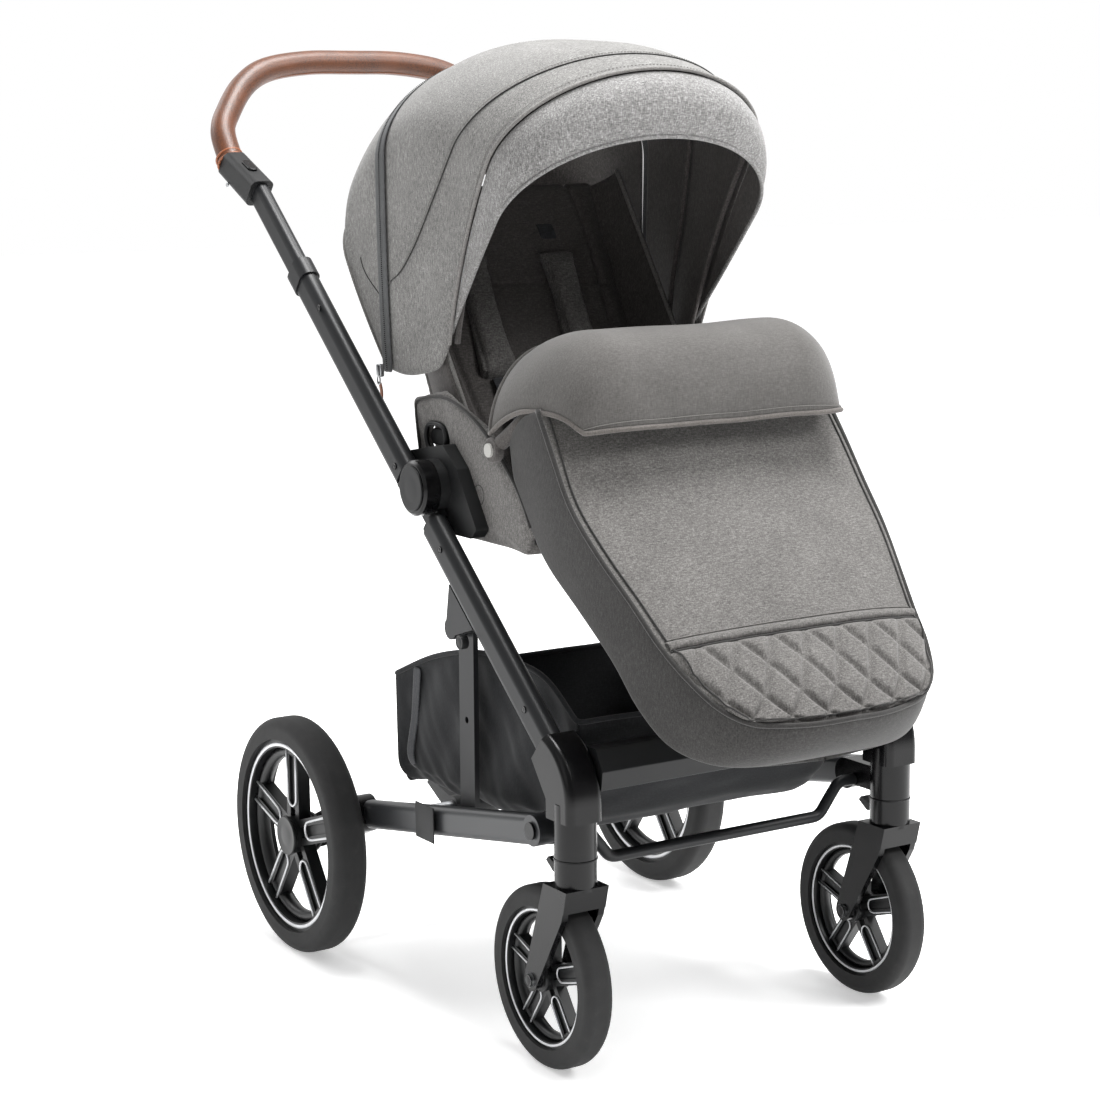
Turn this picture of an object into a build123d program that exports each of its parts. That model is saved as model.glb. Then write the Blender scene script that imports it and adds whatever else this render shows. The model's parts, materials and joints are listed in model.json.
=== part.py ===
"""A baby stroller with a folding frame, a telescoping handle, a seat unit, a leg boot and a hood.

Millimetres. +Z is up, the child faces -Y, and the child's left is +X. Side views are drawn on planes
across X, as (y, z) points measured from the drawing's own origin line, which stands MID_Y ahead of the
part's origin, so that the part's origin is the middle of its box at floor level.
"""
import os
from math import atan2, cos, degrees, hypot, radians, sin

from build123d import *

os.makedirs("parts", exist_ok=True)

SIDES = (("left", 1), ("right", -1))
FIT = 0.05  # radial clearance of a running fit

# Ends of the whole object, front to back
TOE_Y = -463
HANDLE_Y = 664
GRIP_R = 17
MID_Y = (TOE_Y + HANDLE_Y + GRIP_R) / 2

# Frame tubes: flat-sided ovals, with the fold joint on the line of their front edges
TUBE_X = 230
TUBE_W = 24
TUBE_D = 38
WALL = 2
TUBE_SLOPE = radians(40.3)
FOLD = (54.8, 635.2)
TUBE_OFFSET = -22
KNEE_S = -372.5
COLLAR_S = 402
HUB_R = 33
TUBE_GAP = 42

# Wheels
REAR_AXLE = (330, 153.5)
REAR_R = 153.5
REAR_RIM_R = 126
REAR_X = 276.9
REAR_W = 46
FRONT_AXLE = (-201.7, 105.4)
FRONT_R = 105.4
FRONT_RIM_R = 82
FRONT_X = 223.9
FRONT_W = 35.4
CASTER_Y = -255
POST_R = 24

# Lower rail, from the knee's pivot to the suspension block
RAIL_PIVOT = (-195, 276)
RAIL_END = (233, 196)
RAIL_IN = 222
RAIL_W = 22
RAIL_D = 36
STRUT_TOP = (-10, 476)
STRUT_FOOT = (-7, 250)

# Seat unit
SEAT_HALF = 197
SEAT_WALL = 12
SEAT_FLOOR = 572
BACK_PIVOT = (105, 600)
BACK_SLOPE = radians(63)
LEG_PIVOT = (-128, 560)
LEG_END = (-325, 413)
BAR_END = (-59, 689)
HOOD_PIVOT = (165, 757)
CLOTH = 3
BOOT_HALF = 203
BOOT_CLOTH = 4


def place(x, y, z):
    """A point of the drawing in the part's own frame."""
    return (x, y - MID_Y, z)


def side(x):
    """The side-view plane at x, with its normal along +X."""
    return Plane(origin=place(x, 0, 0), x_dir=(0, 1, 0), z_dir=(1, 0, 0))


def on_tube(s, offset):
    """(y, z) of a point s along the tubes from the fold pivot, offset towards the front edge."""
    y = FOLD[0] + s * cos(TUBE_SLOPE) - offset * sin(TUBE_SLOPE)
    z = FOLD[1] + s * sin(TUBE_SLOPE) + offset * cos(TUBE_SLOPE)
    return (y, z)


def across_tube(x, s):
    """The plane square to the tubes, centred on the tube's axis, s along from the fold pivot."""
    return Plane(origin=place(x, *on_tube(s, TUBE_OFFSET)), x_dir=(1, 0, 0),
                 z_dir=(0, cos(TUBE_SLOPE), sin(TUBE_SLOPE)))


def toward(start, end):
    """Length and angle in degrees of the line between two side-view points."""
    dy = end[0] - start[0]
    dz = end[1] - start[1]
    return hypot(dy, dz), degrees(atan2(dz, dy))


def save(builder, name):
    builder.part.label = name
    export_step(builder.part, f"parts/{name}.step")


# ---------------------------------------------------------------- main frame

RIVET_R = 5
BRACKET_FOOT = TUBE_OFFSET - TUBE_D / 2 + 1
for name, sign in SIDES:
    with BuildPart() as main_tube:
        with BuildSketch(across_tube(sign * TUBE_X, KNEE_S)):
            RectangleRounded(TUBE_W, TUBE_D, TUBE_W / 2 - 1)
            RectangleRounded(TUBE_W - 2 * WALL, TUBE_D - 2 * WALL, TUBE_W / 2 - 1 - WALL, mode=Mode.SUBTRACT)
        extrude(amount=-KNEE_S - TUBE_GAP)
        with BuildSketch(side(sign * 221)):
            with BuildLine():
                Polyline(on_tube(-188, BRACKET_FOOT), on_tube(-118, BRACKET_FOOT), on_tube(-141, -80),
                         on_tube(-163, -80), close=True)
            make_face()
            with Locations(STRUT_TOP):
                Circle(13)
        extrude(amount=sign * 18)
    save(main_tube, f"main_tube_{name}")

LUG_IN = 203
for name, sign in SIDES:
    with BuildPart() as knee:
        with BuildSketch(side(sign * 201)):
            with BuildLine():
                top = on_tube(KNEE_S, TUBE_OFFSET + 21)
                bottom = on_tube(KNEE_S, TUBE_OFFSET - 21)
                ThreePointArc(top, (-267, 361), (CASTER_Y - POST_R, 320))
                Polyline((CASTER_Y - POST_R, 320), (CASTER_Y - POST_R, 300), (CASTER_Y + POST_R, 300),
                         (CASTER_Y + POST_R, 322), bottom, top)
            make_face()
        extrude(amount=sign * 46)
        fillet(knee.edges().filter_by(GeomType.CIRCLE), 9)
        with Locations(place(sign * FRONT_X, CASTER_Y, 258)):
            Cylinder(POST_R, 62, align=(Align.CENTER, Align.CENTER, Align.MIN))
        with BuildSketch(side(sign * LUG_IN)):
            with Locations(RAIL_PIVOT):
                Circle(19)
            with Locations(((CASTER_Y + RAIL_PIVOT[0]) / 2, RAIL_PIVOT[1] + 4)):
                Rectangle(60, 30)
        extrude(amount=sign * (RAIL_IN - 0.4 - LUG_IN))
        with Locations(place(sign * FRONT_X, CASTER_Y, 258)):
            Cylinder(9 + FIT, 44, align=(Align.CENTER, Align.CENTER, Align.MIN), mode=Mode.SUBTRACT)
        with BuildSketch(side(sign * LUG_IN)):
            with Locations(RAIL_PIVOT):
                Circle(RIVET_R)
        extrude(amount=sign * 30, mode=Mode.SUBTRACT)
    save(knee, f"knee_{name}")

with BuildPart() as front_cross_panel:
    with BuildSketch(side(-201)):
        with BuildLine():
            Polyline((-238, 377), (-262, 378), (-276, 354), (-273, 332), (-252, 330), (-240, 350), close=True)
        make_face()
    extrude(amount=402)
    fillet(front_cross_panel.edges().filter_by(Axis.X), 3)
save(front_cross_panel, "front_cross_panel")

with BuildPart() as basket_tube:
    with BuildLine():
        tube_path = FilletPolyline(place(-203, -211, 272), place(-180, -211, 272), place(-150, -211, 234),
                                   place(150, -211, 234), place(180, -211, 272), place(203, -211, 272),
                                   radius=18)
    with BuildSketch(Plane(origin=tube_path @ 0, z_dir=tube_path % 0)):
        Circle(7)
        Circle(5.5, mode=Mode.SUBTRACT)
    sweep()
save(basket_tube, "basket_tube")

BASKET_HALF = 200
BASKET_LOW = [(203, 345), (218, 316), (203, 230), (-165, 249), (-200, 277), (-226, 345)]
with BuildPart() as basket:
    with BuildSketch(side(-BASKET_HALF)):
        with BuildLine():
            Polyline((209, 380), *BASKET_LOW, (-222, 398), (-150, 438), (-58, 446), (110, 419), close=True)
        make_face()
    extrude(amount=2 * BASKET_HALF)
    with BuildSketch(side(-BASKET_HALF + CLOTH)):
        with BuildLine():
            Polyline((214, 520), (209, 380), *BASKET_LOW, (-230, 520), close=True)
        make_face()
        offset(amount=-CLOTH, kind=Kind.INTERSECTION, mode=Mode.REPLACE)
    extrude(amount=2 * (BASKET_HALF - CLOTH), mode=Mode.SUBTRACT)
save(basket, "basket")

# Seat mount: the lower half of the fold joint, with the socket plate that carries the seat unit
HUB_SPLIT = 229
STUB = (TUBE_W - 2 * WALL - 0.6, TUBE_D - 2 * WALL - 0.6)
for name, sign in SIDES:
    with BuildPart() as seat_mount:
        with BuildSketch(side(sign * 198.2)):
            with BuildLine():
                Polyline((-36, 594), (-24, 582), (18, 582), (141, 648), (141, 668), (40, 686), (8, 660),
                         close=True)
            make_face()
            fillet(vertices(), 5)
        extrude(amount=sign * 17.8)
        with BuildSketch(side(sign * 215)):
            with Locations(FOLD):
                Circle(HUB_R)
        extrude(amount=sign * (HUB_SPLIT - 215))
        with BuildSketch(side(sign * 217.5)):
            with BuildLine():
                Polyline(on_tube(-41.5, -38), on_tube(-8, -38), on_tube(-8, -6), on_tube(-41.5, -6), close=True)
            make_face()
        extrude(amount=sign * (HUB_SPLIT - 217.5))
        with BuildSketch(across_tube(sign * TUBE_X, -75)):
            RectangleRounded(*STUB, 8)
        extrude(amount=39)
    save(seat_mount, f"seat_mount_{name}")

with BuildPart() as frame_rivets:
    for name, sign in SIDES:
        with BuildSketch(side(sign * LUG_IN)):
            with Locations(RAIL_PIVOT):
                Circle(RIVET_R)
        extrude(amount=sign * (RAIL_IN + RAIL_W + 0.4 - LUG_IN))
        with BuildSketch(side(sign * (RAIL_IN + RAIL_W + 0.4))):
            with Locations(RAIL_PIVOT):
                Circle(10)
        extrude(amount=sign * 3)
save(frame_rivets, "frame_rivets")

# ---------------------------------------------------------------- folding upper frame and handle

for name, sign in SIDES:
    with BuildPart() as upper_tube:
        with BuildSketch(across_tube(sign * TUBE_X, TUBE_GAP)):
            RectangleRounded(TUBE_W, TUBE_D, TUBE_W / 2 - 1)
        extrude(amount=COLLAR_S - TUBE_GAP)
        with BuildSketch(across_tube(sign * TUBE_X, COLLAR_S - 26)):
            RectangleRounded(TUBE_W + 4, TUBE_D + 5, TUBE_W / 2)
        extrude(amount=28)
        with BuildSketch(across_tube(sign * TUBE_X, TUBE_GAP)):
            RectangleRounded(TUBE_W - 2 * WALL, TUBE_D - 2 * WALL, TUBE_W / 2 - 1 - WALL)
        extrude(amount=COLLAR_S, mode=Mode.SUBTRACT)
    save(upper_tube, f"upper_tube_{name}")

for name, sign in SIDES:
    with BuildPart() as fold_housing:
        with BuildSketch(side(sign * (HUB_SPLIT + 0.5))):
            with Locations(FOLD):
                Circle(HUB_R)
        extrude(amount=sign * 21)
        chamfer(fold_housing.edges().filter_by(GeomType.CIRCLE).sort_by(Axis.X)[-1 if sign > 0 else 0], 3)
        with BuildSketch(side(sign * (HUB_SPLIT + 0.5))):
            with BuildLine():
                Polyline(on_tube(8, -38), on_tube(41, -38), on_tube(41, -6), on_tube(8, -6), close=True)
            make_face()
        extrude(amount=sign * 10)
        with BuildSketch(across_tube(sign * TUBE_X, 36)):
            RectangleRounded(*STUB, 8)
        extrude(amount=39)
    save(fold_housing, f"fold_housing_{name}")

INNER = (TUBE_W - 2 * WALL - 0.6, TUBE_D - 2 * WALL - 0.6)
INNER_S = 250
HOUSING_S = 550
for name, sign in SIDES:
    with BuildPart() as inner_tube:
        with BuildSketch(across_tube(sign * TUBE_X, INNER_S)):
            RectangleRounded(*INNER, 8)
            RectangleRounded(INNER[0] - 3, INNER[1] - 3, 6.5, mode=Mode.SUBTRACT)
        extrude(amount=HOUSING_S - INNER_S)
    save(inner_tube, f"inner_tube_{name}")

GRIP_START = (572, 1013)
GRIP_RISE = radians(43)
HOUSING_TOP = (on_tube(HOUSING_S, TUBE_OFFSET + 21),
               (GRIP_START[0] - 20 * sin(GRIP_RISE), GRIP_START[1] + 20 * cos(GRIP_RISE)))
HOUSING_LOW = (on_tube(HOUSING_S, TUBE_OFFSET - 21),
               (GRIP_START[0] + 20 * sin(GRIP_RISE), GRIP_START[1] - 20 * cos(GRIP_RISE)))
BUTTON_LENGTH, BUTTON_ANGLE = toward(*HOUSING_TOP)
BUTTON_Y = (HOUSING_TOP[0][0] + HOUSING_TOP[1][0]) / 2
BUTTON_Z = (HOUSING_TOP[0][1] + HOUSING_TOP[1][1]) / 2
BUTTON_SIZE = (13, 30)


def button_plane(x, depth):
    """The plane of the slide button, depth below the housing's front face."""
    tilt = radians(BUTTON_ANGLE)
    return Plane(origin=place(x, BUTTON_Y + depth * sin(tilt), BUTTON_Z - depth * cos(tilt)), x_dir=(1, 0, 0),
                 z_dir=(0, -sin(tilt), cos(tilt)))


for name, sign in SIDES:
    with BuildPart() as grip_housing:
        with BuildSketch(side(sign * 214)):
            with BuildLine():
                Polyline(HOUSING_TOP[0], HOUSING_TOP[1], HOUSING_LOW[1], HOUSING_LOW[0], close=True)
            make_face()
        extrude(amount=sign * 32)
        long_edges = grip_housing.edges().filter_by(lambda e: abs(abs(e.center().X) - 230) > 15)
        fillet(long_edges.filter_by(lambda e: e.length > 60), 9)
        with BuildSketch(button_plane(sign * TUBE_X, 10)):
            RectangleRounded(BUTTON_SIZE[0] + 0.6, BUTTON_SIZE[1] + 0.6, 6)
        extrude(amount=20, mode=Mode.SUBTRACT)
    save(grip_housing, f"grip_housing_{name}")
    with BuildPart() as slide_button:
        with BuildSketch(button_plane(sign * TUBE_X, 6)):
            RectangleRounded(*BUTTON_SIZE, 5.6)
        extrude(amount=9)
        fillet(slide_button.faces().sort_by(Axis.Z)[-1].edges(), 1.5)
    save(slide_button, f"slide_button_{name}")

GRIP_HALF = [(TUBE_X, *GRIP_START), (TUBE_X + 1, 603, 1058), (208, 638, 1110), (150, 656, 1139)]
GRIP_POINTS = [place(*p) for p in GRIP_HALF]
GRIP_POINTS += [place(0, HANDLE_Y, 1149)]
GRIP_POINTS += [place(-x, y, z) for x, y, z in reversed(GRIP_HALF)]
with BuildPart() as handle_grip:
    with BuildLine():
        grip_path = Spline(*GRIP_POINTS, tangents=[(0, cos(GRIP_RISE), sin(GRIP_RISE)),
                                                   (0, -cos(GRIP_RISE), -sin(GRIP_RISE))])
    with BuildSketch(Plane(origin=grip_path @ 0, z_dir=grip_path % 0)):
        Circle(GRIP_R)
        Circle(GRIP_R - 4, mode=Mode.SUBTRACT)
    sweep()
save(handle_grip, "handle_grip")

# ---------------------------------------------------------------- rear frame

RAIL_LENGTH, RAIL_ANGLE = toward(RAIL_PIVOT, RAIL_END)
RAIL_DIR = (0, cos(radians(RAIL_ANGLE)), sin(radians(RAIL_ANGLE)))


def across_rail(x, t):
    """The plane square to the rail, t along it from its front pivot."""
    return Plane(origin=place(x, RAIL_PIVOT[0] + t * RAIL_DIR[1], RAIL_PIVOT[1] + t * RAIL_DIR[2]),
                 x_dir=(1, 0, 0), z_dir=RAIL_DIR)


SUSPENSION_R = 24
for name, sign in SIDES:
    with BuildPart() as rail:
        with BuildSketch(side(sign * RAIL_IN)):
            with Locations(RAIL_PIVOT):
                Circle(RAIL_D / 2)
        extrude(amount=sign * RAIL_W)
        with BuildSketch(across_rail(sign * (RAIL_IN + RAIL_W / 2), 0)):
            RectangleRounded(RAIL_W, RAIL_D, 9)
        extrude(amount=RAIL_LENGTH - SUSPENSION_R)
        with BuildSketch(across_rail(sign * (RAIL_IN + RAIL_W / 2), RAIL_D / 2)):
            RectangleRounded(RAIL_W - 2 * WALL, RAIL_D - 2 * WALL, 7)
        extrude(amount=RAIL_LENGTH, mode=Mode.SUBTRACT)
        with BuildSketch(side(sign * (RAIL_IN - 1))):
            with Locations(RAIL_PIVOT):
                Circle(RIVET_R + FIT)
        extrude(amount=sign * (RAIL_W + 2), mode=Mode.SUBTRACT)
    save(rail, f"rail_{name}")

AXLE_R = 8
WHEEL_PIN_R = 6
for name, sign in SIDES:
    with BuildPart() as suspension:
        with BuildSketch(side(sign * RAIL_IN)):
            with Locations(RAIL_END):
                Circle(SUSPENSION_R)
            with Locations(REAR_AXLE):
                Circle(22)
            make_hull()
            with Locations(REAR_AXLE):
                Circle(WHEEL_PIN_R, mode=Mode.SUBTRACT)
        extrude(amount=sign * 28)
        with BuildSketch(across_rail(sign * (RAIL_IN + RAIL_W / 2), 0)):
            Rectangle(40, 80)
        extrude(amount=RAIL_LENGTH - SUSPENSION_R, mode=Mode.SUBTRACT)
    save(suspension, f"suspension_{name}")

with BuildPart() as rear_axle:
    with BuildSketch(side(-RAIL_IN)):
        with Locations(REAR_AXLE):
            Circle(AXLE_R)
    extrude(amount=2 * RAIL_IN)
    with BuildSketch(side(-REAR_X - 12)):
        with Locations(REAR_AXLE):
            Circle(WHEEL_PIN_R)
    extrude(amount=2 * REAR_X + 24)
save(rear_axle, "rear_axle")

with BuildPart() as brake_pedal:
    with BuildSketch(side(-48)):
        with Locations(REAR_AXLE):
            Circle(15)
        with BuildLine():
            Polyline((335, 166), (392, 180), (400, 172), (345, 143), close=True)
        make_face()
        with Locations(REAR_AXLE):
            Circle(AXLE_R + FIT, mode=Mode.SUBTRACT)
    extrude(amount=96)
save(brake_pedal, "brake_pedal")

STRUT_IN = 211
STRUT_LENGTH, STRUT_ANGLE = toward(STRUT_FOOT, STRUT_TOP)
for name, sign in SIDES:
    with BuildPart() as strut:
        with BuildSketch(side(sign * STRUT_IN)):
            with Locations(Location(((STRUT_FOOT[0] + STRUT_TOP[0]) / 2, (STRUT_FOOT[1] + STRUT_TOP[1]) / 2),
                                    STRUT_ANGLE)):
                SlotCenterToCenter(STRUT_LENGTH, 34)
                Circle(4, mode=Mode.SUBTRACT)
        extrude(amount=sign * 6.6)
    save(strut, f"strut_{name}")

# ---------------------------------------------------------------- wheels, forks and swivel locks


def make_wheel(kind, name, x, axle, radius, rim_radius, width, pin_radius, spoke_gap):
    """A tyre and its five-spoke rim; each spoke is a pair of bars."""
    with BuildPart() as tyre:
        with BuildSketch(side(x - width / 2)):
            with Locations(axle):
                Circle(radius)
                Circle(rim_radius, mode=Mode.SUBTRACT)
        extrude(amount=width)
        fillet(tyre.edges().filter_by(GeomType.CIRCLE).sort_by(SortBy.RADIUS)[-2:], width * 0.3)
    save(tyre, f"{kind}_tyre_{name}")
    rim_width = width * 0.74
    with BuildPart() as rim:
        with BuildSketch(side(x - rim_width / 2)):
            with Locations(axle):
                Circle(rim_radius)
                Circle(rim_radius * 0.91, mode=Mode.SUBTRACT)
        extrude(amount=rim_width)
        with BuildSketch(side(x - rim_width / 4)):
            with Locations(Location(axle, 90)):
                with PolarLocations(rim_radius * 0.54, 5):
                    with Locations((0, spoke_gap / 2), (0, -spoke_gap / 2)):
                        Rectangle(rim_radius * 0.8, spoke_gap * 0.42)
        extrude(amount=rim_width / 2)
        with BuildSketch(side(x - rim_width / 2)):
            with Locations(axle):
                Circle(rim_radius * 0.19)
        extrude(amount=rim_width)
        with BuildSketch(side(x - rim_width)):
            with Locations(axle):
                Circle(pin_radius + FIT)
        extrude(amount=2 * rim_width, mode=Mode.SUBTRACT)
    save(rim, f"{kind}_rim_{name}")


FRONT_PIN_R = 4
CROWN_Z = 209
FORK_GAP = 20
for name, sign in SIDES:
    make_wheel("rear", name, sign * REAR_X, REAR_AXLE, REAR_R, REAR_RIM_R, REAR_W, WHEEL_PIN_R, 24)
    make_wheel("front", name, sign * FRONT_X, FRONT_AXLE, FRONT_R, FRONT_RIM_R, FRONT_W, FRONT_PIN_R, 17)
    with BuildPart() as fork:
        with Locations(place(sign * FRONT_X, CASTER_Y, 222)):
            Cylinder(POST_R, 34, align=(Align.CENTER, Align.CENTER, Align.MIN))
            Cylinder(9, 76, align=(Align.CENTER, Align.CENTER, Align.MIN))
        with BuildSketch(side(sign * FRONT_X - 28)):
            with BuildLine():
                Polyline((-279, 226), (-231, 226), (-226, CROWN_Z), (-272, 199), close=True)
            make_face()
        extrude(amount=56)
        for arm in (-28, FORK_GAP):
            with BuildSketch(side(sign * FRONT_X + arm)):
                with Locations(FRONT_AXLE):
                    Circle(13)
                with BuildLine():
                    Polyline((-279, 226), (-231, 226), (-189, 109), (-214, 101), (-268, 190), close=True)
                make_face()
                with Locations(FRONT_AXLE):
                    Circle(FRONT_PIN_R, mode=Mode.SUBTRACT)
            extrude(amount=28 - FORK_GAP)
    save(fork, f"fork_{name}")
    with BuildPart() as front_axle:
        with BuildSketch(side(sign * FRONT_X - 28)):
            with Locations(FRONT_AXLE):
                Circle(FRONT_PIN_R)
        extrude(amount=56)
        for head in (-31, 28):
            with BuildSketch(side(sign * FRONT_X + head)):
                with Locations(FRONT_AXLE):
                    Circle(8)
            extrude(amount=3)
    save(front_axle, f"front_axle_{name}")
    with BuildPart() as swivel_lock:
        with BuildSketch(side(sign * FRONT_X - 9)):
            with Locations((-224.5, 239)):
                Circle(5)
            with BuildLine():
                Polyline((-227, 243), (-212, 249), (-207, 244), (-222, 234), close=True)
            make_face()
        extrude(amount=18)
    save(swivel_lock, f"swivel_lock_{name}")

# ---------------------------------------------------------------- seat unit

WINDOW = (88, 689)
with BuildPart() as seat_shell:
    with BuildSketch(side(-SEAT_HALF)):
        with BuildLine():
            Polyline((104, SEAT_FLOOR), (130, 640), (152, 734), (72, 749), (-27, 714), (-107, 640), (-128, 602),
                     (-110, SEAT_FLOOR), close=True)
        make_face()
        with Locations(WINDOW):
            SlotOverall(50, 34, mode=Mode.SUBTRACT)
    extrude(amount=2 * SEAT_HALF)
    with BuildSketch(side(-SEAT_HALF + SEAT_WALL)):
        with BuildLine():
            Polyline((-160, SEAT_FLOOR + SEAT_WALL), (170, SEAT_FLOOR + SEAT_WALL), (170, 780), (-160, 780),
                     close=True)
        make_face()
    extrude(amount=2 * (SEAT_HALF - SEAT_WALL), mode=Mode.SUBTRACT)
save(seat_shell, "seat_shell")

PAD_HALF = 180
with BuildPart() as seat_pad:
    with BuildSketch(side(-PAD_HALF)):
        with BuildLine():
            Polyline((80, 584.3), (80, 606), (-60, 612), (-118, 606), (-118, 590), (-110, 584.3), close=True)
        make_face()
        fillet(vertices(), 4)
    extrude(amount=2 * PAD_HALF)
save(seat_pad, "seat_pad")

with BuildPart() as harness_buckle:
    with BuildSketch(side(-19)):
        with BuildLine():
            Polyline((-42, 612), (-34, 612), (-28, 650), (-38, 656), (-50, 650), close=True)
        make_face()
        fillet(vertices(), 2)
    extrude(amount=38)
save(harness_buckle, "harness_buckle")

for name, sign in SIDES:
    with BuildPart() as seat_release:
        with BuildSketch(side(sign * (SEAT_HALF - 9))):
            with Locations(WINDOW):
                SlotOverall(40, 20)
        extrude(amount=sign * 6)
        fillet(seat_release.faces().filter_by(Axis.X).edges(), 2)
    save(seat_release, f"seat_release_{name}")

BACK_LENGTH = 425
BACK_THICK = 24
BACK_HALF = 165


def on_back(s, offset):
    """(y, z) of a point s up the backrest from its hinge, offset towards the child."""
    y = BACK_PIVOT[0] + s * cos(BACK_SLOPE) - offset * sin(BACK_SLOPE)
    z = BACK_PIVOT[1] + s * sin(BACK_SLOPE) + offset * cos(BACK_SLOPE)
    return (y, z)


with BuildPart() as backrest:
    with BuildSketch(side(-BACK_HALF)):
        with Locations(Location(on_back(BACK_LENGTH / 2, 0), degrees(BACK_SLOPE))):
            SlotCenterToCenter(BACK_LENGTH, BACK_THICK)
    extrude(amount=2 * BACK_HALF)
save(backrest, "backrest")

with BuildPart() as harness_pads:
    for name, sign in SIDES:
        with BuildSketch(side(sign * 38)):
            with BuildLine():
                Polyline(on_back(150, BACK_THICK / 2 + 0.3), on_back(330, BACK_THICK / 2 + 0.3),
                         on_back(322, BACK_THICK / 2 + 14), on_back(160, BACK_THICK / 2 + 18), close=True)
            make_face()
            fillet(vertices(), 3)
        extrude(amount=sign * 55)
save(harness_pads, "harness_pads")

with BuildPart() as legrest:
    with BuildSketch(side(-165)):
        length, angle = toward(LEG_PIVOT, LEG_END)
        with Locations(Location(((LEG_PIVOT[0] + LEG_END[0]) / 2, (LEG_PIVOT[1] + LEG_END[1]) / 2), angle)):
            SlotCenterToCenter(length, 16)
    extrude(amount=330)
save(legrest, "legrest")

# Bumper bar with its end blocks and release buttons
BAR_R = 9
BLOCK_IN = SEAT_HALF + 0.4
BLOCK_OUT = 211
BUTTON_R = 8
with BuildPart() as bumper_bar:
    with BuildLine():
        bar_path = FilletPolyline(place(-203, -62, 692), place(-194, -187, 806), place(194, -187, 806),
                                  place(203, -62, 692), radius=55)
    with BuildSketch(Plane(origin=bar_path @ 0, z_dir=bar_path % 0)):
        Circle(BAR_R)
    sweep()
    for name, sign in SIDES:
        with BuildSketch(side(sign * BLOCK_IN)):
            with Locations(Location(BAR_END, -41)):
                SlotOverall(34, 24)
        extrude(amount=sign * (BLOCK_OUT - BLOCK_IN))
    for name, sign in SIDES:
        with BuildSketch(side(sign * (BLOCK_OUT - 8))):
            with Locations(BAR_END):
                Circle(BUTTON_R + FIT)
        extrude(amount=sign * 20, mode=Mode.SUBTRACT)
save(bumper_bar, "bumper_bar")

for name, sign in SIDES:
    with BuildPart() as bumper_button:
        with BuildSketch(side(sign * (BLOCK_OUT - 4))):
            with Locations(BAR_END):
                Circle(BUTTON_R)
        extrude(amount=sign * 6)
    save(bumper_button, f"bumper_button_{name}")

# Leg boot: an upper shell on the seat and a lower shell on the legrest, with the knee bend left open
BOOT_LOWER = [(-340, 507), (-392, 460), (-455, 433), (TOE_Y, 405), (-452, 383), (-416, 377), (-361, 380),
              (-313, 389), (-274, 409), (-225, 451), (-150, 517), (-132, 538)]
with BuildPart() as boot_lower:
    with BuildSketch(side(-BOOT_HALF)):
        with BuildLine():
            Polyline((-264, 597), *BOOT_LOWER, (-134, 563), close=True)
        make_face()
    extrude(amount=2 * BOOT_HALF)
    with BuildSketch(side(-BOOT_HALF + BOOT_CLOTH)):
        with BuildLine():
            Polyline((-230, 640), *BOOT_LOWER, (-60, 600), close=True)
        make_face()
        offset(amount=-BOOT_CLOTH, kind=Kind.INTERSECTION, mode=Mode.REPLACE)
    extrude(amount=2 * (BOOT_HALF - BOOT_CLOTH), mode=Mode.SUBTRACT)
save(boot_lower, "boot_lower")

with BuildPart() as boot_upper:
    with BuildSketch(side(-BOOT_HALF)):
        with BuildLine():
            Polyline((-80, 670), (-166, 733), (-234, 640), (-152, 582), (-76, 566), (-54, 620), close=True)
        make_face()
    extrude(amount=2 * BOOT_HALF)
    with BuildSketch(side(-BOOT_HALF + BOOT_CLOTH)):
        with BuildLine():
            Polyline((-110, 760), (-161, 730), (-231, 634), (-180, 540), (-20, 540), (-20, 760), close=True)
        make_face()
    extrude(amount=2 * (BOOT_HALF - BOOT_CLOTH), mode=Mode.SUBTRACT)
save(boot_upper, "boot_upper")

FLAP_HALF = 211
with BuildPart() as boot_flap:
    with BuildSketch(side(-FLAP_HALF)):
        with BuildLine():
            Polyline((-60, 808), (-120, 826), (-190, 829), (-216, 812), (-226, 770), (-221, 741), (-150, 744),
                     (-100, 772), close=True)
        make_face()
    extrude(amount=2 * FLAP_HALF)
    with BuildSketch(side(-FLAP_HALF + CLOTH)):
        with BuildLine():
            Polyline((-30, 796), (-120, 823), (-188, 826), (-213, 810), (-223, 770), (-217, 730), (-30, 730),
                     close=True)
        make_face()
    extrude(amount=2 * (FLAP_HALF - CLOTH), mode=Mode.SUBTRACT)
save(boot_flap, "boot_flap")

# ---------------------------------------------------------------- hood


def arch(angle, half, low, top, corner):
    """An arch on the plane through the hood's hinge line, angle degrees up from the rear."""
    tilt = radians(angle)
    plane = Plane(origin=place(0, *HOOD_PIVOT), x_dir=(1, 0, 0), z_dir=(0, -sin(tilt), cos(tilt)))
    with BuildSketch(plane) as section:
        with BuildLine():
            Line((half, low), (half, top - corner))
            CenterArc((half - corner, top - corner), corner, 0, 90)
            Line((half - corner, top), (corner - half, top))
            CenterArc((corner - half, top - corner), corner, 90, 90)
            Line((-half, top - corner), (-half, low))
            Line((-half, low), (half, low))
        make_face()
    return section.sketch


def hood_shell(half, sections, low, corner):
    """A cloth shell lofted through arches, open at the front, the back and below."""
    inner = [arch(angle, half - CLOTH, low - 4, top - CLOTH, corner - CLOTH) for angle, top in sections]
    outer = [arch(angle, half, low, top, corner) for angle, top in sections]
    with BuildPart() as shell:
        loft(outer)
        loft(inner, mode=Mode.SUBTRACT)
    return shell


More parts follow.
